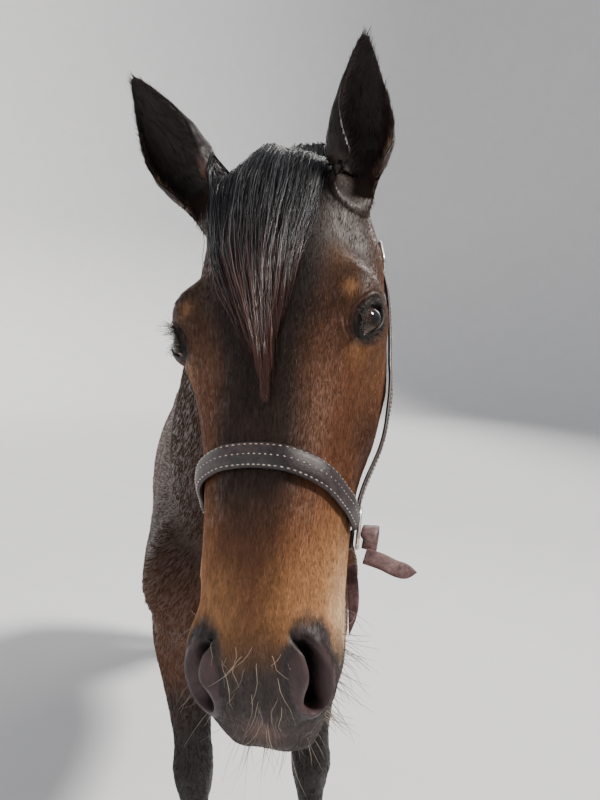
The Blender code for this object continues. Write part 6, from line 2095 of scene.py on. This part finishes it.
def make_eyes():
    """Eyeballs as fine balls: radius by two angles, raised at the cornea and at the pink corner; colours
    by the angle from the middle: an oval pupil, a fibrous brown iris and a dark rim."""
    material = eye_material()
    for side_name in SIDES:
        eye = eye_frame(side_name)
        up = upper(eye)
        around, levels = 112, 64
        lean = np.linspace(0.004, math.pi - 0.004, levels)[:, None]
        turn = (np.arange(around) * 2 * math.pi / around)[None]
        a, b = np.sin(lean) * np.cos(turn), np.sin(lean) * np.sin(turn)
        corner = np.exp(-(((a - 0.78) / 0.10) ** 2 + ((b + 0.10) / 0.14) ** 2)) * (np.cos(lean) > 0)
        radius = EYE_RADIUS - 0.0004 + 0.0012 * np.exp(-((lean / 0.62) ** 4)) + 0.0016 * corner
        grid = eye.place(radius * a, radius * b * up, radius * np.cos(lean) * np.ones_like(turn))
        points, triangles = closed_grid(grid)
        piece = new_piece(f"eyeball_{side_name}", (points, facing_out(points, triangles)), material)
        x, y, h = eye.measures(points)
        x, y = x / EYE_RADIUS, y * up / EYE_RADIUS
        far = np.hypot(x, y)
        spin = np.arctan2(y, x)
        fibres = 0.5 + 0.5 * np.sin(spin * 60 + 3 * np.sin(spin * 7)) * np.sin(spin * 23 + far * 12)
        iris = np.tile((0.014, 0.007, 0.004), (len(points), 1))
        colour = mix(iris, np.array((0.045, 0.020, 0.009)), fibres * smoothstep(far, 0.25, 0.5))
        colour = mix(colour, np.array((0.012, 0.007, 0.005)), smoothstep(far, 0.56, 0.66))
        colour = mix(colour, np.array((0.10, 0.06, 0.05)), 0.5 * smoothstep(far, 0.78, 0.92))
        pupil = np.hypot(x / 0.36, y / 0.20)
        colour = mix(colour, np.array((0.002, 0.002, 0.003)), smoothstep(pupil, 1.1, 0.9) * (h > 0))
        pink = np.exp(-(((x - 0.78) / 0.10) ** 2 + ((y + 0.10) / 0.14) ** 2)) * (h > 0)
        colour = mix(colour, np.array((0.11, 0.05, 0.045)), np.clip(pink * 1.3, 0, 1))
        give_colours(piece, colour)
        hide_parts(f"eye_{side_name}")


def make_hooves():
    """Hooves: ovals from the coronet down to a flared ground edge, rippled by growth lines, and closed by
    a hollow sole."""
    material = horn_material()
    for side_name, way in SIDES.items():
        for part, table, line in (("foreleg", FORELEG, FORELEG_X), ("hindleg", HINDLEG, HINDLEG_X)):
            coronet = table[-1]
            middle = (coronet[1] + coronet[2]) / 2
            levels = np.concatenate([np.linspace(HOOF_HEIGHT, 0.004, 44), (0.0012, 0.0)])
            drop = np.interp(levels, (0, 0.02, HOOF_HEIGHT - 0.008, HOOF_HEIGHT), (1, 0.8, 0.05, 0))
            ripple = 1 + 0.006 * np.sin(levels * 620) * smoothstep(HOOF_HEIGHT - levels, 0.006, 0.02)
            ripple += 0.02 * np.exp(-(((levels - HOOF_HEIGHT + 0.006) / 0.005) ** 2)) - 0.02 * (levels == 0)
            wide = (HOOF_TOP_RADII[0] + (HOOF_GROUND_RADII[0] - HOOF_TOP_RADII[0]) * drop) * ripple - 0.0006
            long = (HOOF_TOP_RADII[1] + (HOOF_GROUND_RADII[1] - HOOF_TOP_RADII[1]) * drop) * ripple - 0.0006
            turn = (np.arange(96) * 2 * math.pi / 96)[None]
            heel = 1 - 0.10 * np.exp(-(((turn - math.pi) / 0.35) ** 2)) * smoothstep(drop, 0.2, 1)[:, None]
            x = line * way + wide[:, None] * np.sin(turn) * np.abs(np.sin(turn)) ** 0.05
            y = middle - HOOF_LEAN * drop[:, None] - long[:, None] * np.cos(turn) * heel
            rings = np.stack([x, y, np.broadcast_to(levels[:, None], x.shape)], axis=2)
            centre = rings[-1].mean(axis=0)
            sole = centre + (rings[-1] - centre) * 0.82 + (0, 0, 0.004)
            surface = closed_grid(np.concatenate([rings, sole[None]]))
            surface = surface[0], facing_out(*surface)
            piece = new_piece(f"hoof_wall_{part}_{side_name}", surface, material)
            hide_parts(f"hoof_{part}_{side_name}")


def strap_line(route):
    """A strap's middle line on the skin, evenly spaced, with the skin's normals smoothed along it."""
    tree = skin_tree()
    guides = at_head(route)
    rows = smooth_rows(np.hstack([guides, guides]), 0.006)[:, :3]
    line = np.array([tuple(tree.find_nearest(Vector(point))[0]) for point in rows])
    length = np.concatenate([[0], np.cumsum(np.linalg.norm(np.diff(line, axis=0), axis=1))])
    count = max(12, round(length[-1] / STRAP_SPACING))
    steps = np.linspace(0, length[-1], count + 1)
    even = np.stack([np.interp(steps, length, line[:, i]) for i in range(3)], axis=1)
    normal = np.array([tuple(tree.find_nearest(Vector(point))[1]) for point in even])
    for _ in range(10):
        even[1:-1] = even[1:-1] * 0.5 + (even[:-2] + even[2:]) * 0.25
        normal[1:-1] = unit(normal[1:-1] * 0.5 + (normal[:-2] + normal[2:]) * 0.25)
    ahead = unit(np.gradient(even, axis=0))
    normal = unit(normal - ahead * (normal * ahead).sum(axis=1)[:, None])
    return even, normal, np.cross(normal, ahead), length[-1]


def padding(across):
    """How high padding stands at a share of a strap's half width: a cosine, drawn in at the stitches."""
    return np.cos(across * math.pi) * 0.5 + 0.5 - 0.9 * np.exp(-(((np.abs(across) - 0.78) / 0.10) ** 2))


def lay_strap(route, size, slack, padded):
    """A strap: a rounded flat section carried along its line, crowned where it is padded between its
    rows of stitching, and lying a little off the coat."""
    width, thickness = size
    line, normal, side, length = strap_line(route)
    tree = skin_tree()
    share = np.linspace(0, 1, len(line))
    off = STRAP_CLEARANCE * 0.6 + slack * np.sin(math.pi * np.minimum(1, share * 1.7))
    across = np.concatenate([np.linspace(-1, 1, 15), np.linspace(1, -1, 15)])
    outer = np.concatenate([np.ones(15), np.zeros(15)])
    edge = 1 - np.abs(across) ** 8
    crown = padded * padding(across)
    top = thickness * (0.55 + 0.45 * edge) + crown * thickness
    rise = np.where(outer > 0, top, thickness * 0.45 * (1 - edge))
    base = []
    for part in np.linspace(-0.5, 0.5, 5):
        feet = [tree.find_nearest(Vector(point))[0] for point in line + side * width * part]
        base.append([(Vector(point) - foot).dot(Vector(n)) for point, foot, n in zip(line, feet, normal)])
    base = -np.array(base)
    for _ in range(8):
        base[:, 1:-1] = base[:, 1:-1] * 0.5 + (base[:, :-2] + base[:, 2:]) * 0.25
    spread = np.stack([np.interp(across, np.linspace(-1, 1, 5), column) for column in base.T])
    height = off[:, None] + rise[None] + spread
    flat = side[:, None] * (across * width / 2)[None, :, None]
    rings = line[:, None] + flat + normal[:, None] * height[..., None]
    surface = closed_grid(rings)
    frame_of = line, normal, side, length, off, base
    return (surface[0], facing_out(*surface)), frame_of


def stitches(frame_of, width, thickness, rows, padded):
    """Stitches in rows along a strap: small spindles that dip into the leather at both ends."""
    line, normal, side, length, off, base = frame_of
    count = int((length - 0.012) / STITCH_PITCH)
    share = (np.arange(count) + 0.5) * STITCH_PITCH / length + 0.006 / length
    place = share * (len(line) - 1)
    surfaces = []
    for row in rows:
        i = np.arange(len(line))
        middle, n, s = (
            np.stack([np.interp(place, i, values[:, k]) for k in range(3)], axis=1)
            for values in (line, normal, side)
        )
        ahead = unit(np.cross(s, n))
        height = np.array([np.interp(row, np.linspace(-1, 1, 5), column) for column in base.T])
        lift = np.interp(place, i, off + height) + thickness * (1 + padded * padding(row)) - 0.0001
        centre = middle + s * (row * width / 2) + n * lift[:, None]
        half_long, half_wide = STITCH_PITCH * 0.42, 0.00075
        corners = np.stack(
            [
                centre - ahead * half_long - n * 0.0004,
                centre + s * half_wide, centre + n * 0.0009, centre - s * half_wide, centre - n * 0.0009,
                centre + ahead * half_long - n * 0.0004,
            ],
            axis=1,
        )
        pattern = [(0, 1 + k, 1 + (k + 1) % 4) for k in range(4)]
        pattern += [(5, 1 + (k + 1) % 4, 1 + k) for k in range(4)]
        triangles = (np.arange(count)[:, None, None] * 6 + np.array(pattern)).reshape(-1, 3)
        surfaces.append((corners.reshape(-1, 3), triangles))
    points, triangles = join_surfaces(surfaces)
    return points, facing_out(points, triangles)


def wire_loop(centre, first, second, normal, size, wire):
    """A ring of wire: a round section carried along a closed rounded square."""
    turn = np.arange(72) * 2 * math.pi / 72
    c, s = np.cos(turn), np.sin(turn)
    reach = (np.abs(c) ** RING_SQUARE + np.abs(s) ** RING_SQUARE) ** (-1 / RING_SQUARE)
    line = centre + np.outer(reach * c * size[0] / 2, first) + np.outer(reach * s * size[1] / 2, second)
    ahead = unit(np.roll(line, -1, axis=0) - np.roll(line, 1, axis=0))
    out = np.cross(ahead, normal)
    lean = np.arange(12) * 2 * math.pi / 12
    section = np.cos(lean)[None, :, None] * out[:, None] + np.sin(lean)[None, :, None] * normal
    points = (line[:, None] + wire * section).reshape(-1, 3)
    return points, facing_out(points, grid_triangles(len(turn), len(lean), closed=True))


def mirrored(route):
    """The same places on the head's other side."""
    return tuple((-across, along, height) for across, along, height in route)


def loose_strap(line, side, width, thickness, pointed):
    """Loose leather along a bent line: a rounded flat section, whose width draws in to the end over the
    last part of the line."""
    guides = at_head(line)
    rows = smooth_rows(np.hstack([guides, guides]), 0.0012)[:, :3]
    ahead = unit(np.gradient(rows, axis=0))
    across = unit(head_directions(side) - ahead * (ahead @ head_directions(side))[:, None])
    normal = np.cross(across, ahead)
    share = np.linspace(0, 1, len(rows))
    wide = width / 2 * np.sqrt(np.maximum(1e-4, 1 - smoothstep(share, 1 - pointed, 1.0) ** 2 * 0.998))
    turn = np.arange(28) * 2 * math.pi / 28
    c, s = np.cos(turn), np.sin(turn)
    flat = np.sign(c) * np.abs(c) ** 0.45, np.sign(s) * np.abs(s) ** 0.75 * thickness / 2
    rings = rows[:, None] + across[:, None] * (wide[:, None] * flat[0])[..., None]
    rings = rings + normal[:, None] * flat[1][None, :, None]
    points, triangles = closed_grid(rings)
    return points, facing_out(points, triangles)


def make_halter():
    """The halter: padded and plain straps with their stitching, and nickel-plated wire rings."""
    leather = leather_material("Dark brown leather", (0.010, 0.006, 0.0065), (0.034, 0.021, 0.021))
    thread = thread_material()
    steel = steel_material()
    straps = {
        "noseband": NOSEBAND_ROUTE,
        "crown": CROWN_ROUTE,
        "throat_strap": THROAT_ROUTE,
        "center_strap": CENTER_ROUTE,
        "cheek_left": CHEEK_ROUTE,
        "cheek_right": mirrored(CHEEK_ROUTE),
        "chin_strap_left": CHIN_ROUTE,
        "chin_strap_right": mirrored(CHIN_ROUTE),
    }
    for name, route in straps.items():
        padded = NOSEBAND_PADDING if name == "noseband" else 0.0
        size, rows = (NOSEBAND, (-0.78, 0.0, 0.78)) if padded else (STRAP, (-0.75, 0.75))
        surface, frame_of = lay_strap(route, size, CHEEK_SLACK if "cheek" in name else 0.0, padded)
        piece = new_piece(f"strap_{name}", surface, leather)
        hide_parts(f"halter_{name}")
        rows_of = stitches(frame_of, *size, rows, padded)
        new_piece(f"stitching_{name}", rows_of, thread, smooth=False)
    worn = leather_material("Worn red-brown leather", (0.045, 0.015, 0.014), (0.17, 0.095, 0.090))
    for name, values in LOOSE_LEATHER.items():
        new_piece(f"loose_{name}", loose_strap(*values), worn)
    tree = skin_tree()
    for name, guide in RINGS.items():
        place, normal, _, _ = tree.find_nearest(Vector(at_head(guide)))
        place, normal = np.array(place), np.array(normal)
        up = head_directions((0, -1, 0))
        up = unit(up - normal * (up @ normal))
        centre = place + normal * (STRAP_CLEARANCE + 2 * RING_WIRE)
        surface = wire_loop(centre, np.cross(normal, up), up, normal, RING_SIZE, RING_WIRE)
        piece = new_piece(f"wire_{name}", surface, steel)
        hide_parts(f"halter_{name}")


# The photograph's camera: its place in the horse's frame, pitch, turn and lens for a 600 by 800 image
CAMERA_PLACE = (-0.028, -2.04, 1.66)
CAMERA_PITCH = math.radians(-5)
CAMERA_YAW = math.radians(6)
CAMERA_LENS = 26.0
# The studio: its floor's radius, the radius of the cove at the wall's foot, and the wall's height
FLOOR_RADIUS = 13.0
COVE_RADIUS = 6.0
WALL_HEIGHT = 14.0


WORLD_COLOUR = (0.86, 0.90, 0.96, 1)
WORLD_STRENGTH = 0.46
LIGHT_TARGET = (0, -1.1, 1.4)
# The key light: place, angle, strength and colour; then the soft lights: place, size, power and colour
SUN = ((2.9, -2.0, 4.5), math.radians(9), 5.6, (1.0, 0.96, 0.90))
SOFT_LIGHTS = {
    "rim": ((1.6, 1.4, 3.4), 1.6, 60, (1.0, 0.97, 0.93)),
    "fill": ((-3.2, -2.8, 2.2), 3.0, 14, (0.88, 0.93, 1.0)),
}


def make_stage():
    """Floor, lights and the camera: the floor is a disc whose edge bends up in a quarter circle to a
    round wall."""
    turn = np.arange(96) * 2 * math.pi / 96
    bend = np.radians(np.linspace(0, 90, 24))
    cove = FLOOR_RADIUS + COVE_RADIUS * np.sin(bend[1:])
    reach = np.concatenate([np.linspace(0.5, FLOOR_RADIUS, 12), cove, [FLOOR_RADIUS + COVE_RADIUS]])
    rise = np.concatenate([np.zeros(12), COVE_RADIUS * (1 - np.cos(bend[1:])), [WALL_HEIGHT]])
    rise = np.repeat(rise[:, None], len(turn), axis=1)
    rings = np.stack([np.outer(reach, np.cos(turn)), np.outer(reach, np.sin(turn)), rise], axis=2)
    points, triangles = closed_grid(rings)
    triangles = triangles[(triangles != len(points) - 1).all(axis=1)]
    mesh = mesh_from("floor", points[:-1], triangles[:, ::-1])
    mesh.polygons.foreach_set("use_smooth", np.ones(len(triangles), bool))
    mesh.materials.append(floor_material())
    floor = bpy.data.objects.new("floor", mesh)
    bpy.context.scene.collection.objects.link(floor)
    world = bpy.data.worlds.new("Studio")
    world.use_nodes = True
    background = world.node_tree.nodes["Background"]
    background.inputs["Color"].default_value = WORLD_COLOUR
    background.inputs["Strength"].default_value = WORLD_STRENGTH
    bpy.context.scene.world = world
    sun = bpy.data.lights.new("key", "SUN")
    sun_place, sun.angle, sun.energy, sun.color = SUN
    lamps = [(sun, sun_place)]
    for name, (place, size, power, colour) in SOFT_LIGHTS.items():
        light = bpy.data.lights.new(name, "AREA")
        light.size, light.energy, light.color = size, power, colour
        lamps.append((light, place))
    for light, place in lamps:
        lamp = bpy.data.objects.new(light.name, light)
        lamp.location = place
        toward = Vector(LIGHT_TARGET) - Vector(place)
        lamp.rotation_euler = toward.to_track_quat("-Z", "Y").to_euler()
        bpy.context.scene.collection.objects.link(lamp)
    camera = bpy.data.cameras.new("camera")
    camera.lens = CAMERA_LENS
    camera.sensor_width = 36.0
    camera.clip_start, camera.clip_end = 0.01, 100
    eye = bpy.data.objects.new("camera", camera)
    bpy.context.scene.collection.objects.link(eye)
    eye.location = np.array(CAMERA_PLACE) + STANCE_SHIFT
    forward = Vector(
        (
            math.sin(CAMERA_YAW) * math.cos(CAMERA_PITCH),
            math.cos(CAMERA_YAW) * math.cos(CAMERA_PITCH),
            math.sin(CAMERA_PITCH),
        )
    )
    eye.rotation_euler = forward.to_track_quat("-Z", "Y").to_euler()
    bpy.context.scene.camera = eye


class HORSE_OT_skin(bpy.types.Operator):
    """Build the skin"""

    bl_idname = "horse.skin"
    bl_label = "Skin"
    bl_options = {"REGISTER", "UNDO"}

    def execute(self, context):
        make_skin()
        return {"FINISHED"}


class HORSE_OT_coat(bpy.types.Operator):
    """Lay the short coat on the skin"""

    bl_idname = "horse.coat"
    bl_label = "Short coat"
    bl_options = {"REGISTER", "UNDO"}

    def execute(self, context):
        make_coats()
        return {"FINISHED"}


class HORSE_OT_forelock(bpy.types.Operator):
    """Hang the forelock"""

    bl_idname = "horse.forelock"
    bl_label = "Forelock"
    bl_options = {"REGISTER", "UNDO"}

    def execute(self, context):
        make_forelock()
        return {"FINISHED"}


class HORSE_OT_mane(bpy.types.Operator):
    """Hang the mane"""

    bl_idname = "horse.mane"
    bl_label = "Mane"
    bl_options = {"REGISTER", "UNDO"}

    def execute(self, context):
        make_mane()
        return {"FINISHED"}


class HORSE_OT_tail(bpy.types.Operator):
    """Hang the tail's hair"""

    bl_idname = "horse.tail"
    bl_label = "Tail"
    bl_options = {"REGISTER", "UNDO"}

    def execute(self, context):
        make_tail()
        return {"FINISHED"}


class HORSE_OT_feathers(bpy.types.Operator):
    """Hang the fetlocks' hair"""

    bl_idname = "horse.feathers"
    bl_label = "Feathers"
    bl_options = {"REGISTER", "UNDO"}

    def execute(self, context):
        make_feathers()
        return {"FINISHED"}


class HORSE_OT_whiskers(bpy.types.Operator):
    """Set whiskers, lashes and the ears' fringe"""

    bl_idname = "horse.whiskers"
    bl_label = "Whiskers"
    bl_options = {"REGISTER", "UNDO"}

    def execute(self, context):
        make_whiskers()
        return {"FINISHED"}


class HORSE_OT_eyes(bpy.types.Operator):
    """Build both eyes"""

    bl_idname = "horse.eyes"
    bl_label = "Eyes"
    bl_options = {"REGISTER", "UNDO"}

    def execute(self, context):
        make_eyes()
        return {"FINISHED"}


class HORSE_OT_hooves(bpy.types.Operator):
    """Build the four hooves"""

    bl_idname = "horse.hooves"
    bl_label = "Hooves"
    bl_options = {"REGISTER", "UNDO"}

    def execute(self, context):
        make_hooves()
        return {"FINISHED"}


class HORSE_OT_halter(bpy.types.Operator):
    """Build the halter"""

    bl_idname = "horse.halter"
    bl_label = "Halter"
    bl_options = {"REGISTER", "UNDO"}

    def execute(self, context):
        make_halter()
        return {"FINISHED"}


class HORSE_OT_stage(bpy.types.Operator):
    """Set the floor, lights and camera"""

    bl_idname = "horse.stage"
    bl_label = "Stage"
    bl_options = {"REGISTER", "UNDO"}

    def execute(self, context):
        make_stage()
        return {"FINISHED"}


OPERATORS = (
    HORSE_OT_skin,
    HORSE_OT_coat,
    HORSE_OT_forelock,
    HORSE_OT_mane,
    HORSE_OT_tail,
    HORSE_OT_feathers,
    HORSE_OT_whiskers,
    HORSE_OT_eyes,
    HORSE_OT_hooves,
    HORSE_OT_halter,
    HORSE_OT_stage,
)


class HORSE_PT_panel(bpy.types.Panel):
    """The horse's pieces, in the order they are built."""

    bl_label = "Horse"
    bl_idname = "HORSE_PT_panel"
    bl_space_type = "VIEW_3D"
    bl_region_type = "UI"
    bl_category = "Horse"

    def draw(self, context):
        for name in HorseSettings.__annotations__:
            self.layout.prop(context.scene.horse_settings, name)
        for kind in OPERATORS:
            self.layout.operator(kind.bl_idname)


CLASSES = (HorseSettings, *OPERATORS, HORSE_PT_panel)


def register():
    """Register the classes, and hang the settings on the scene."""
    for kind in CLASSES:
        bpy.utils.register_class(kind)
    bpy.types.Scene.horse_settings = PointerProperty(type=HorseSettings)


def unregister():
    """Take the settings and the classes out again."""
    del bpy.types.Scene.horse_settings
    for kind in reversed(CLASSES):
        bpy.utils.unregister_class(kind)


def main():
    """Build everything in order."""
    register()
    for kind in OPERATORS:
        getattr(bpy.ops.horse, kind.bl_idname.split(".")[1])()


if __name__ == "__main__":
    main()
